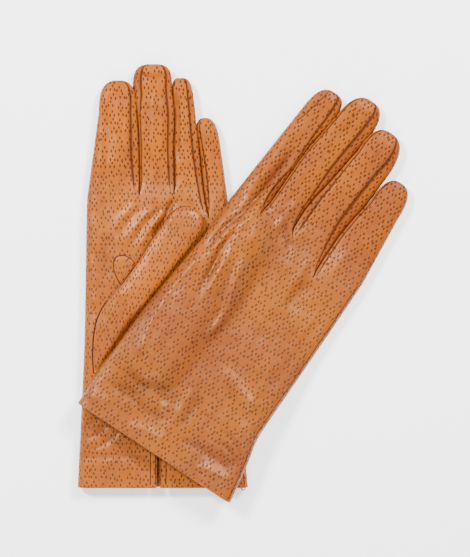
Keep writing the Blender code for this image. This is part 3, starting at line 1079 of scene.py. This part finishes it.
# The colour of the seam mark: dark joints, with painted shade in their grooves, on the walls between the
# fingers and round the fingertips
SEAM_AND_SHADE_COLOUR = (0.040, 0.011, 0.005, 1.0)
THREAD_COLOUR = (0.055, 0.016, 0.007, 1.0)
VALLEY_SHADE = (0.52, 0.40, 0.40, 1.0)
SHEEN_COLOUR = (1.0, 0.69, 0.43, 1.0)
SHEEN, SEAM_SHEEN, DULL_SHEEN = 0.42, 0.2, 0.4
# How far the seams, with the painted shade that their mark carries, and the pores take their own colours,
# and how much rougher they are
SEAM_AND_SHADE_COVER, PORE_COVER = 0.85, 0.96
SEAM_ROUGH, PORE_ROUGH = 0.45, 0.25
# The bumps, in millimetres before BUMP takes them down
GRAIN_BUMP, WRINKLE_BUMP, WAVE_BUMP, PORE_BUMP = 0.06, 0.13, 0.35, 0.16
BUMP = 0.8


def finish(name):
    if name in MADE:
        return MADE[name]
    made = bpy.data.materials.new(name)
    made.use_nodes = True
    MADE[name] = made
    if name == "thread":
        thread_finish(made)
    else:
        leather_finish(made, *LOOKS[name])
    return made


def leather_finish(made, main, other, roughness, pore_share):
    tree = made.node_tree
    shader = tree.nodes["Principled BSDF"]
    uv_map = tree.nodes.new("ShaderNodeUVMap")
    uv_map.uv_map = "leather_mm"
    place = uv_map.outputs["UV"]
    stretched = vector_node(tree, "MULTIPLY", place, (1.0, 0.6, 1.0))
    grain = noise(tree, place, 2.6, 4.0, 0.65)
    dot = times(tree, pores(tree, place), pore_share)
    line = ranged(tree, attribute(tree, "seam"), 0.1, 0.75)
    colour = leather_colour(tree, place, stretched, grain, main, other)
    colour = mixed(tree, times(tree, dot, PORE_COVER), colour, PORE_COLOUR)
    colour = mixed(tree, attribute(tree, "valley"), colour, VALLEY_SHADE, "MULTIPLY")
    # Paints the seam mark: dark joints, with painted shade in their grooves, on the walls between the
    # fingers and round the fingertips
    colour = mixed(tree, times(tree, line, SEAM_AND_SHADE_COVER), colour, SEAM_AND_SHADE_COLOUR)
    tree.links.new(colour, shader.inputs["Base Color"])
    gloss = ranged(tree, noise(tree, place, 0.12, 3.0), 0.3, 0.7, roughness - 0.05, roughness + 0.12)
    gloss = math_node(tree, "ADD", gloss, times(tree, dot, PORE_ROUGH))
    gloss = math_node(tree, "ADD", gloss, times(tree, line, SEAM_ROUGH))
    tree.links.new(gloss, shader.inputs["Roughness"])
    sheen = ranged(tree, line, 0.0, 1.0, SHEEN, SHEEN * SEAM_SHEEN)
    worn = ranged(tree, attribute(tree, "dull"), 0.0, 1.0, 1.0, DULL_SHEEN)
    tree.links.new(times(tree, sheen, worn), shader.inputs["Specular IOR Level"])
    shader.inputs["Specular Tint"].default_value = SHEEN_COLOUR
    bump = tree.nodes.new("ShaderNodeBump")
    bump.inputs["Strength"].default_value = BUMP
    bump.inputs["Distance"].default_value = MM
    tree.links.new(leather_height(tree, place, stretched, grain, dot), bump.inputs["Height"])
    tree.links.new(bump.outputs["Normal"], shader.inputs["Normal"])


def leather_colour(tree, place, stretched, grain, main, other):
    """The leather's own colour: large clouds of its other shade, small light spots, and a fine grain."""
    cloudy = ranged(tree, noise(tree, stretched, 0.035, 4.0), 0.32, 0.68)
    mottled = ranged(tree, noise(tree, place, 0.35, 4.0), 0.3, 0.75)
    colour = mixed(tree, cloudy, (*main, 1), (*other, 1))
    light = (*[c * 1.35 for c in main], 1)
    spotted = mixed(tree, times(tree, mottled, 0.22), colour, light)
    scaled = vector_node(tree, "SCALE", spotted)
    tree.links.new(ranged(tree, grain, 0.35, 0.65, 0.93, 1.05), scaled.node.inputs["Scale"])
    return scaled


def leather_height(tree, place, stretched, grain, dot):
    """The leather's relief: its grain, fine wrinkles, low waves, and the pores as pits."""
    wrinkle = tree.nodes.new("ShaderNodeTexVoronoi")
    wrinkle.feature = "SMOOTH_F1"
    wrinkle.inputs["Scale"].default_value = 1.0
    moved = vector_node(tree, "ADD", place, noise(tree, place, 0.8, 2.0))
    tree.links.new(moved, wrinkle.inputs["Vector"])
    height = times(tree, grain, GRAIN_BUMP)
    wave = noise(tree, stretched, 0.22, 3.0)
    for part, share in ((wrinkle.outputs["Distance"], WRINKLE_BUMP), (wave, WAVE_BUMP)):
        height = math_node(tree, "ADD", height, times(tree, part, share))
    return math_node(tree, "SUBTRACT", height, times(tree, dot, PORE_BUMP))


def thread_finish(made):
    tree = made.node_tree
    shader = tree.nodes["Principled BSDF"]
    place = tree.nodes.new("ShaderNodeTexCoord").outputs["Object"]
    fibre = noise(tree, place, 1800.0, 2.0)
    dark = (*[c * 0.6 for c in THREAD_COLOUR[:3]], 1)
    colour = mixed(tree, fibre, dark, THREAD_COLOUR)
    tree.links.new(colour, shader.inputs["Base Color"])
    tree.links.new(ranged(tree, fibre, 0.3, 0.7, 0.65, 0.8), shader.inputs["Roughness"])
    shader.inputs["Specular IOR Level"].default_value = 0.12


# ---------------------------------------------------------------- the two gloves


LEFT = Glove(
    side="left",
    palm_up=True,
    knuckle_v=171,
    knuckle_u=-4.1,
    left_edge=[(0, -50.4), (45, -48.2), (93, -46.3), (163, -45.1), (171, -44.8)],
    right_edge=[(0, 50.4), (60, 45), (140, 40.5), (171, 38.4)],
    vent_u=-2.6,
    gaps=[
        Gap(
            line=[(171, -14.2), (176, -13.8), (200, -14.2), (214, -14.8)],
            outer=[(171, 0), (176, 3), (200, 4.8), (225, 3.6), (240, 3)],
            inner=[(171, 0), (177, 1.2), (200, 1.5), (218, 1.8), (226, 3.2), (234, 5), (250, 4.6)],
        ),
        Gap(
            line=[(171, 5.8), (176, 6.7), (200, 6.4), (218, 7)],
            outer=[(171, 0), (177, 2.6), (200, 3.6), (225, 4), (250, 3.2)],
            inner=[(171, 0), (178, 0.8), (241, 0.9)],
        ),
        Gap(
            line=[(157, 27.6), (164, 25.8), (175, 24), (199, 21.5)],
            outer=[(157, 0), (163, 2), (175, 2.8), (200, 4), (225, 3.8), (241, 3)],
            inner=[(157, 0), (165, 1.8), (181, 3.2), (204, 2.2), (218, 1.6)],
        ),
    ],
    fingers=[
        Finger(221, -38, -15.5, -26.6, 240.4, 2.8),
        Finger(236, -17.6, 5.4, -6, 250, 3.2),
        Finger(224, 6.5, 19, 10.6, 241.8, 3.6),
        Finger(204, 20.9, 33.8, 25, 218.2, 2.9),
    ],
    thumb=Thumb(
        turn=37.5,
        length=64,
        base=(-19.2, 112.4),
        left=[(0, 8.2), (18, 8.6), (40, 10.8), (64, 11.2)],
        right=[(0, 9.8), (30, 10.6), (64, 11.4)],
        hood=[],
        quirk=[(-16.2, 131.6), (-19.2, 134.6), (-23.2, 136.6), (-26.9, 136), (-28.8, 132.6), (-28.6, 128.4),
               (-27, 123.8), (-24.6, 119.4)],
    ),
    folds=[
        Fold([(-14.5, 168.4), (-20, 162.5), (-25.5, 156.7), (-27, 148)], 2, 1.2),
        Fold([(-12.5, 166.5), (-19, 159), (-23, 150)], 1.5, -0.9),
        Fold([(-2, 167), (-12, 158), (-19, 150), (-24.5, 140)], 2.3, 1.2),
        Fold([(3, 167.5), (-5, 161), (-12, 154), (-19.6, 141)], 1.6, -1.1),
        Fold([(2.5, 164), (-4, 156.5), (-9.5, 149), (-16, 138)], 1.6, 1.2),
        Fold([(6.6, 171.2), (4, 165), (1.5, 159.3), (-2.7, 153), (-7, 146)], 1.4, -2.1, 0.16),
        Fold([(9, 166), (6, 158.5), (3, 153.5)], 1.3, 0.8),
        Fold([(-30, 152), (-34, 138), (-33, 120)], 4, -0.8),
        Fold([(-42, 126), (-40, 108), (-44, 88), (-45.5, 66)], 2.2, 0.7),
        Fold([(-37, 112), (-42, 98), (-43.8, 80), (-43, 62)], 1.4, -0.8),
        Fold([(-49, 17.5), (-25, 18.5), (-6, 17.5)], 2, -0.7, 0.08),
        Fold([(4, 17.5), (28, 18), (48, 17)], 2, -0.6, 0.08),
        Fold([(-48, 21), (-36, 25), (-26, 33), (-18, 44)], 1.5, -1),
        Fold([(-48, 28), (-38, 32), (-29, 41)], 1.4, -0.8),
        Fold([(-47, 36), (-40, 39), (-34, 46)], 1.5, -0.6),
        Fold([(-27, 232), (-26, 205), (-27, 180)], 4.5, 0.7),
        Fold([(-34, 228), (-33, 200), (-36, 172)], 3, -0.5),
        Fold([(-4, 238), (-4.5, 212), (-4, 178)], 3.6, 0.7),
        Fold([(-9, 236), (-9.5, 212), (-8, 184)], 1.8, -0.5),
        Fold([(-14, 243), (-5, 241.5), (3.5, 243)], 1.6, -0.9, 0.1),
        Fold([(13, 226), (14, 204), (14.5, 182)], 2.4, 0.5),
        Fold([(8.2, 238), (8.6, 215), (8.6, 190)], 1.7, -1.6),
        Fold([(-19.5, 230), (-19, 206), (-17.5, 184)], 2, -1),
        Fold([(1.6, 240), (1.4, 212), (0.6, 184)], 1.6, -0.8),
    ],
    waves=(11, 0.32, 0.12),
)

# The ridge that the folded thumb raises in the back: a wide fold and a narrow one on the same path
THUMB_RIDGE = [(-39.5, 118), (-42.6, 100), (-44.4, 81), (-43.8, 64), (-42, 54), (-38, 47.5), (-28, 44.5)]

RIGHT = Glove(
    side="right",
    palm_up=False,
    knuckle_v=150,
    knuckle_u=-11.9,
    left_edge=[(0, -53), (26, -52.6), (62, -51.4), (97, -48), (123, -45.2), (150, -44.2)],
    right_edge=[(0, 54), (22, 50.5), (44, 46.8), (77, 47.6), (114, 48.4), (150, 48.8)],
    vent_u=-1,
    gaps=[
        Gap(
            line=[(149, -24.3), (153, -23.8), (162, -22.8), (186, -22.6), (198, -22.2), (208, -20.9)],
            outer=[(149, 0), (156, 2.4), (164, 3.9), (173, 3.4), (185, 1.2), (197, 1.5), (207, 2.8),
                   (220, 4.6), (236, 5)],
            inner=[(149, 0), (156, 0.7), (200, 0.9), (243, 0.8)],
        ),
        Gap(
            line=[(149, -0.6), (156, -3.6), (166, -3.9), (176, -3), (187, -1), (199, 0.9), (209, 2.2)],
            outer=[(149, 0), (157, 0.9), (167, 1.4), (176, 2.2), (187, 4.1), (199, 5.7), (226, 6.4),
                   (243, 5)],
            inner=[(149, 0), (153, 2.4), (157, 3.6), (168, 4.1), (183, 2.8), (198, 1.6), (212, 1.1),
                   (233, 0.9)],
        ),
        Gap(
            line=[(136, 22.6), (141, 21.7), (150, 21.5), (163, 21.6), (175, 22.7), (188, 24.6)],
            outer=[(136, 0), (148, 2.2), (161, 4.2), (175, 6.2), (190, 7.4), (206, 7), (220, 5.2),
                   (233, 4)],
            inner=[(136, 0), (142, 1.6), (153, 1.4), (212, 0.8)],
        ),
    ],
    fingers=[
        Finger(217, -38.5, -19, -27.2, 235.5, 3),
        Finger(224, -18.8, 4.2, -6, 243.4),
        Finger(214, 3.1, 26.2, 14, 233.9),
        Finger(193, 25.6, 45.2, 35.2, 212.4),
    ],
    thumb=Thumb(
        turn=1,
        length=64,
        base=(-29, 76),
        left=[(0, 9.6), (64, 10.2)],
        right=[(0, 9.6), (64, 10.4)],
        hood=[
            (-39, 68.5, -19.8, 68.5, 8),
            (-38.6, 60, -21, 60, 7),
            (-36.6, 52, -23.6, 52, 5.6),
            (-34, 44, -27.6, 44, 3.4),
            (-32.2, 39, -30.2, 39, 0.8),
        ],
        quirk=[(-39.4, 97.5), (-43.2, 98.6), (-46, 96.4), (-47.2, 92.4), (-45.6, 88), (-42.8, 85.2),
               (-39.4, 83.6)],
    ),
    folds=[
        Fold([(-28.6, 198), (-29.8, 175), (-31, 161), (-33.4, 146), (-38.2, 130), (-40.6, 108)],
             2.1, -1.9, 0.2),
        Fold([(-34, 190), (-36.5, 165), (-40.5, 140), (-44.5, 118)], 2.6, 1),
        Fold([(-25.2, 180), (-27, 163), (-28.5, 146), (-34.5, 128), (-36.5, 108)], 2, 1.1),
        Fold([(-31.1, 150), (-31.6, 139), (-32.6, 122), (-31, 112), (-29.2, 94)], 1.9, -1.6),
        Fold(THUMB_RIDGE, 3.6, 1.9, 0.16),
        Fold(THUMB_RIDGE, 1.6, 1, 0.16),
        Fold([(-51, 6), (-46, 8.5), (-37, 9)], 2.8, 1.3),
        Fold([(-22, 5.5), (-9, 8), (4, 9.5)], 3, 1.6),
        Fold([(24, 7), (37, 9), (48, 9.5)], 3, 1.8),
        Fold([(-21, 29), (-13, 25.5), (-6, 22.5)], 2.8, 1.5),
        Fold([(8, 66), (13, 62), (18, 59), (24, 56.5), (32, 55), (41, 53)], 4.2, 1.9),
        Fold([(33, 44), (40, 38), (46, 36)], 2.4, 0.9),
        Fold([(-48, 100), (-48.8, 80), (-48, 60), (-44, 48), (-36, 39), (-24, 38)], 3.6, -0.7),
        Fold([(-19, 128), (-15.6, 113.5), (-11.2, 98), (-9.6, 87.2), (-11.6, 72)], 2, 3, 0.18),
        Fold([(-15, 130), (-5.5, 110), (-4, 88)], 3.2, -0.5),
        Fold([(-27, 128), (-26.2, 108.7), (-24.6, 87)], 1.7, 1.3),
        Fold([(-31.5, 120), (-30.6, 104), (-29.5, 86)], 1.6, -0.7),
        Fold([(-22, 124), (-20, 106), (-18, 90)], 2.2, -0.8),
        Fold([(-15, 162), (-7, 152), (4.4, 141)], 1.8, -1.1),
        Fold([(-11, 170), (-11.5, 156), (-13.5, 144)], 2, 1),
        Fold([(-20, 148), (-14, 140), (-10, 128)], 2.2, 0.9),
        Fold([(22.6, 136), (19, 124), (18, 112)], 3, -0.7),
        Fold([(14, 146), (15, 132), (11, 118)], 2.6, 0.6),
        Fold([(-47, 19), (-32, 21), (-16, 18.5), (0, 21.5)], 3.4, -1.1, 0.2),
        Fold([(6, 15), (25, 17.5), (40, 17), (49, 19.5)], 3, -1.2, 0.2),
        Fold([(26, 27.5), (40, 24.5), (48, 19.5)], 1.8, -1.2),
        Fold([(24, 33.5), (38, 30.5), (47, 24)], 1.6, -0.8),
        Fold([(20, 22.5), (36, 21), (48, 19.5)], 1.4, -0.8),
        Fold([(-44, 34), (-28, 29), (-12, 33), (2, 30)], 3.6, -0.9),
        Fold([(5.4, 46.5), (5, 32), (4.8, 17.9)], 3, -1),
        Fold([(-2, 46), (-1, 35), (0, 24)], 2, 0.9),
        Fold([(34, 176), (33, 160), (30, 148)], 3.5, 0.6),
        Fold([(11, 232), (14.5, 222), (14, 205)], 1.5, -0.5),
        Fold([(17, 229), (20, 219), (20.5, 206)], 1.5, -0.45),
        Fold([(-12, 238), (-9, 228), (-10, 214)], 1.8, -0.5),
        Fold([(-33.3, 226), (-34.4, 218), (-37, 208)], 1, -0.6),
    ],
    waves=(37, 0.42, 0.13),
    tip_seam=((-30.4, 234.6), (-32.4, 225.3), (-34, 217.5), (-36.6, 209.5)),
)


def hood_beside(glove, over, clearance=1.3):
    """The left thumb's hood: its left side is a seam on the palm, and its right side stays just short of
    the edge of the glove that lies on it."""
    seam = [(-31.8, 110.6), (-36.2, 104.0), (-38.8, 97.5), (-40.6, 86.5), (-41.0, 76.5), (-40.2, 67.0)]
    heights = (7.4, 6.0, 5.0, 3.4, 2.0, 0.5)
    edge_places = (57.0, 50.0, 43.5, 36.0, 28.5, 22.0)
    hood = []
    for (left_u, left_v), height, edge_v in zip(seam, heights, edge_places):
        edge = over.to_table(np.array([curve(over.left_edge, edge_v) - clearance, edge_v, MIDDLE]))
        hood.append((left_u, left_v, *glove.from_table(edge), height))
    return hood


def make_glove(glove):
    side = glove.side
    skin = make_skin(glove)
    for part in ("palm", "back"):
        name = f"{side}_{part}"
        attach(rename(skin.piece(name, f"{side}_leather")), glove, "hand", "leather", name)
    gusset = skin.piece(f"{side}_fork_gusset", f"{side}_fourchette")
    attach(rename(gusset), glove, "hand", "fourchette_leather")
    for finger, name in enumerate(FINGER_NAMES):
        make_finger(glove, skin, finger, name)
    if glove.tip_seam:
        path = skin.drop(smooth_path(glove.tip_seam, 20), glove.palm_up)
        add_seam(f"{side}_index_tip", glove, "index", [path])
    make_cuff(glove, skin)
    make_thumb(glove, skin)


def make_finger(glove, skin, finger, name):
    """A finger's strips and side walls, and the stitches along its walls."""
    side = glove.side
    for part in ["stall"] if finger == 0 else ["palm_strip", "back_strip"]:
        whole = f"{side}_{name}_{part}"
        attach(rename(skin.piece(whole, f"{side}_leather")), glove, name, "leather", whole)
    lines = []
    for wall, is_there in (("outer", finger < 3), ("inner", finger > 0)):
        if not is_there:
            continue
        whole = f"{side}_{name}_{wall}_fourchette"
        piece = rename(skin.piece(whole, f"{side}_fourchette"))
        attach(piece, glove, name, "fourchette_leather", whole)
        for palm_side in (True, False):
            ids = [k for part, k in skin.seam_ids[finger, wall, palm_side] if part == "finger"]
            lines.append(skin.line(ids[:-2]))
    attach(stitches(f"{side}_{name}_stitches", lines), glove, name, "leather")


def rename(piece):
    """A visual piece's own name, beside the CAD node that it stands for."""
    piece.name = piece.name.split(".")[0] + "_leather"
    return piece


# The hem's section, from the outer surface round the fold: (v, depth), in millimetres. It then runs up
# inside, HEM_INSIDE below the outer surface, along the rows of the hand
HEM_FOLD = [(0.0, 0.0), (-0.35, 0.1), (-0.62, 0.38), (-0.74, 0.8), (-0.62, 1.2), (-0.3, 1.5), (0.4, 1.62)]
HEM_INSIDE = 1.65
HEM_ROWS = range(2, 11)


def round_run(ids, row):
    """The point numbers of one row of the hand, from the vent round the little-finger side to the vent."""
    palm, back = True, False
    little = [ids[2][palm][row], ids[3][palm][row], ids[3][back][row][::-1], ids[2][back][row][::-1]]
    index = [ids[1][back][row][::-1], ids[0][back][row][::-1], ids[0][palm][row], ids[1][palm][row]]
    return np.concatenate(little + index)


def make_cuff(glove, skin):
    """The hem turned in round the cuff, and the vent with its two facings and rows of stitches."""
    side = glove.side
    ids = skin.hand_ids
    quarter = len(ids[2][True][0]) + len(ids[3][True][0])
    sections = {
        f"{side}_palm_hem_little_side": slice(0, quarter),
        f"{side}_back_hem": slice(quarter, 3 * quarter),
        f"{side}_palm_hem_index_side": slice(3 * quarter, 4 * quarter),
    }
    along = np.array([*glove.along, 0.0])
    for name, section in sections.items():
        cuff = skin.line(round_run(ids, 0)[section])[0]
        different = np.concatenate([[True], np.linalg.norm(np.diff(cuff, axis=0), axis=1) > 1e-7])
        rows = []
        path = [(0, v, depth) for v, depth in HEM_FOLD] + [(row, 0.0, HEM_INSIDE) for row in HEM_ROWS]
        for row, v, depth in path:
            points, normals = skin.line(round_run(ids, row)[section][different])
            level = unit(normals - (normals @ along)[:, None] * along)
            rows.append(points - level * depth * MM + along * v * MM)
        piece = surface(name, np.stack(rows), "hem", HEM_LEATHER, HEM_START, glove.palm_up)
        attach(rename(piece), glove, "hand", "hem_leather", name)
    make_vent(glove, skin)


def surface(name, rows, look, thick, start, turn):
    """A leather piece straight from a grid of table points. start is where its pores start."""
    count = rows.shape[1]
    ids = np.arange(rows.shape[0] * count).reshape(rows.shape[:2])
    faces = grid_faces(ids)
    if turn:
        faces = faces[:, ::-1]
    points = rows.reshape(-1, 3)
    run = np.linalg.norm(np.diff(rows, axis=1), axis=2) / MM
    rise = np.linalg.norm(np.diff(rows, axis=0), axis=2) / MM
    across = np.concatenate([np.zeros((len(rows), 1)), np.cumsum(run, axis=1)], axis=1) + start
    along = np.concatenate([np.zeros((1, count)), np.cumsum(rise, axis=0)], axis=0)
    maps = np.stack([across, along], axis=-1).reshape(-1, 2)[faces]
    shades = np.zeros((len(points), len(SHADES)))
    return leather(name, points, point_normals(points, faces), faces, maps, shades, look, thick)


# The vent's facings, its rows of stitches beside it, and the outseam's distance from the edge
FACING_WIDTH, FACING_DEPTH = 6.0, 0.9
VENT_SEAMS = (1.6, 4.6)
OUTSEAM_INSET = 1.9


def make_vent(glove, skin):
    """Two facings inside the vent, the stitches beside it, and the outseam along the hand."""
    side = glove.side
    lines = []
    for name, way in (("index_side", -1), ("little_side", 1)):
        rows = []
        for v in np.linspace(0.8, VENT_LENGTH, 22):
            half = VENT_HALF_WIDTH * math.sqrt(max(0.0, 1 - v / VENT_LENGTH))
            across = np.linspace(half + 0.15, half + FACING_WIDTH, 5) * way + glove.vent_u
            spots, normals = skin.drop([(u, v) for u in across], True)
            rows.append(spots - normals * (LEATHER + FACING_DEPTH) * MM)
        node = f"{side}_vent_facing_{name}"
        turn = (way > 0) == glove.palm_up
        piece = surface(node, np.stack(rows), "hem", HEM_LEATHER, FACING_START, turn)
        attach(rename(piece), glove, "hand", "hem_leather", node)
        for offset in VENT_SEAMS:
            path = [(glove.vent_u + way * offset, v) for v in np.linspace(1.0, VENT_LENGTH - 1, 40)]
            lines.append(skin.drop(path, True))
    along = np.linspace(1.0, glove.knuckle_v - 2, 90)
    outseam = [(float(curve(glove.right_edge, v)) - OUTSEAM_INSET, v) for v in along]
    lines.append(skin.drop(outseam, glove.palm_up))
    add_seam(f"{side}_hand", glove, "hand", lines)


# How wide the thumb's creases are, and how far the hood's seam lies from its middle line
THUMB_CREASE, HOOD_CREASE, QUIRK_CREASE = 0.36, 0.42, 0.45
HOOD_SEAM_GAP = 0.35


def make_thumb(glove, skin):
    """The thumb stall, the hood under it, and the quirk beside it, with their seams."""
    side = glove.side
    thumb_skin = make_thumb_skin(glove)
    stall = thumb_skin.piece(f"{side}_thumb_stall", f"{side}_leather")
    attach(rename(stall), glove, "thumb", "leather", f"{side}_thumb_stall")
    base = thumb_skin.piece(f"{side}_thumb_base", f"{side}_leather")
    attach(rename(base), glove, "hand", "leather", f"{side}_thumb_base")
    seam_column = THUMB_COLUMNS // 2 - 2
    line = thumb_skin.line(thumb_skin.stall_ids[1:-2, seam_column])
    add_seam(f"{side}_thumb", glove, "thumb", [line], THUMB_CREASE)
    make_quirk(glove, skin)
    seam = smooth_path([station[:2] for station in glove.thumb.hood], 40) - (HOOD_SEAM_GAP, 0)
    add_seam(f"{side}_hood", glove, "hand", [skin.drop(seam, True)], HOOD_CREASE)


QUIRK_ROWS = 24
QUIRK_COLUMNS = 12
QUIRK_LIFT = 0.55


def make_quirk(glove, skin):
    """The quirk: a tongue of leather let in beside the thumb, with a seam round it."""
    side = glove.side
    border = smooth_path(glove.thumb.quirk, QUIRK_ROWS + 1)
    root = np.linspace(border[0], border[-1], QUIRK_ROWS + 1)
    share = np.linspace(0, 1, QUIRK_COLUMNS + 1)
    lift = QUIRK_LIFT * (1 - share ** 6) + 0.05
    rows = []
    for start, end in list(zip(root, border))[1:-1]:
        found, normals = skin.drop([start + (end - start) * s for s in share], True)
        rows.append(found + normals * lift[:, None] * MM)
    name = f"{side}_thumb_quirk"
    turn = not glove.palm_up
    piece = surface(name, np.stack(rows), f"{side}_leather", QUIRK_LEATHER, QUIRK_START, turn)
    attach(rename(piece), glove, "hand", "leather", name)
    add_seam(f"{side}_quirk", glove, "hand", [skin.drop(border, True)], QUIRK_CREASE)


# ---------------------------------------------------------------- stage, light and camera


# The floor and the camera, in metres and, for the sensor, millimetres
FLOOR_REACH, FLOOR_Z = 3.0, -0.0006
CAMERA_HEIGHT = 1.2
VIEW_HEIGHT = 0.3286
VIEW_CENTRE = (-0.0032, 0.0026)
SENSOR = 36.0


def make_stage():
    mesh = bpy.data.meshes.new("floor")
    corners = ((-1, -1), (1, -1), (1, 1), (-1, 1))
    points = [(x * FLOOR_REACH, y * FLOOR_REACH, FLOOR_Z) for x, y in corners]
    mesh.from_pydata(points, [], [(0, 1, 2, 3)])
    floor = linked("floor", mesh)
    plain = bpy.data.materials.new("floor")
    plain.use_nodes = True
    shader = plain.node_tree.nodes["Principled BSDF"]
    shader.inputs["Base Color"].default_value = (0.97, 0.97, 0.97, 1)
    shader.inputs["Roughness"].default_value = 0.9
    shader.inputs["Emission Color"].default_value = (1, 1, 1, 1)
    shader.inputs["Emission Strength"].default_value = 0.5
    mesh.materials.append(plain)


def make_light(name, place, size, power, target=(0, 0, 0.01)):
    light = bpy.data.lights.new(name, "AREA")
    light.size = size
    light.energy = power
    lamp = linked(name, light)
    lamp.location = place
    lamp.rotation_euler = (Vector(target) - Vector(place)).to_track_quat("-Z", "Y").to_euler()


def make_studio():
    world = bpy.data.worlds.new("studio")
    bpy.context.scene.world = world
    world.use_nodes = True
    background = world.node_tree.nodes["Background"]
    background.inputs["Color"].default_value = (1, 1, 1, 1)
    background.inputs["Strength"].default_value = 0.65
    make_light("key_light", (0.62, 0.74, 1.0), 0.32, 40)
    make_light("fill_light", (-0.64, 0.55, 1.0), 0.24, 34)
    make_light("low_light", (-0.1, -0.95, 0.9), 0.6, 12)


def make_camera():
    data = bpy.data.cameras.new("camera")
    camera = linked("camera", data)
    data.sensor_width = SENSOR
    data.lens = SENSOR * CAMERA_HEIGHT / VIEW_HEIGHT
    camera.location = (*VIEW_CENTRE, CAMERA_HEIGHT + THICK * MM)
    bpy.context.scene.camera = camera


LEFT.place()
RIGHT.place()
LEFT.thumb.hood = hood_beside(LEFT, RIGHT)
make_glove(LEFT)
make_glove(RIGHT)
add_loose_thread(LEFT)
make_stage()
make_studio()
make_camera()
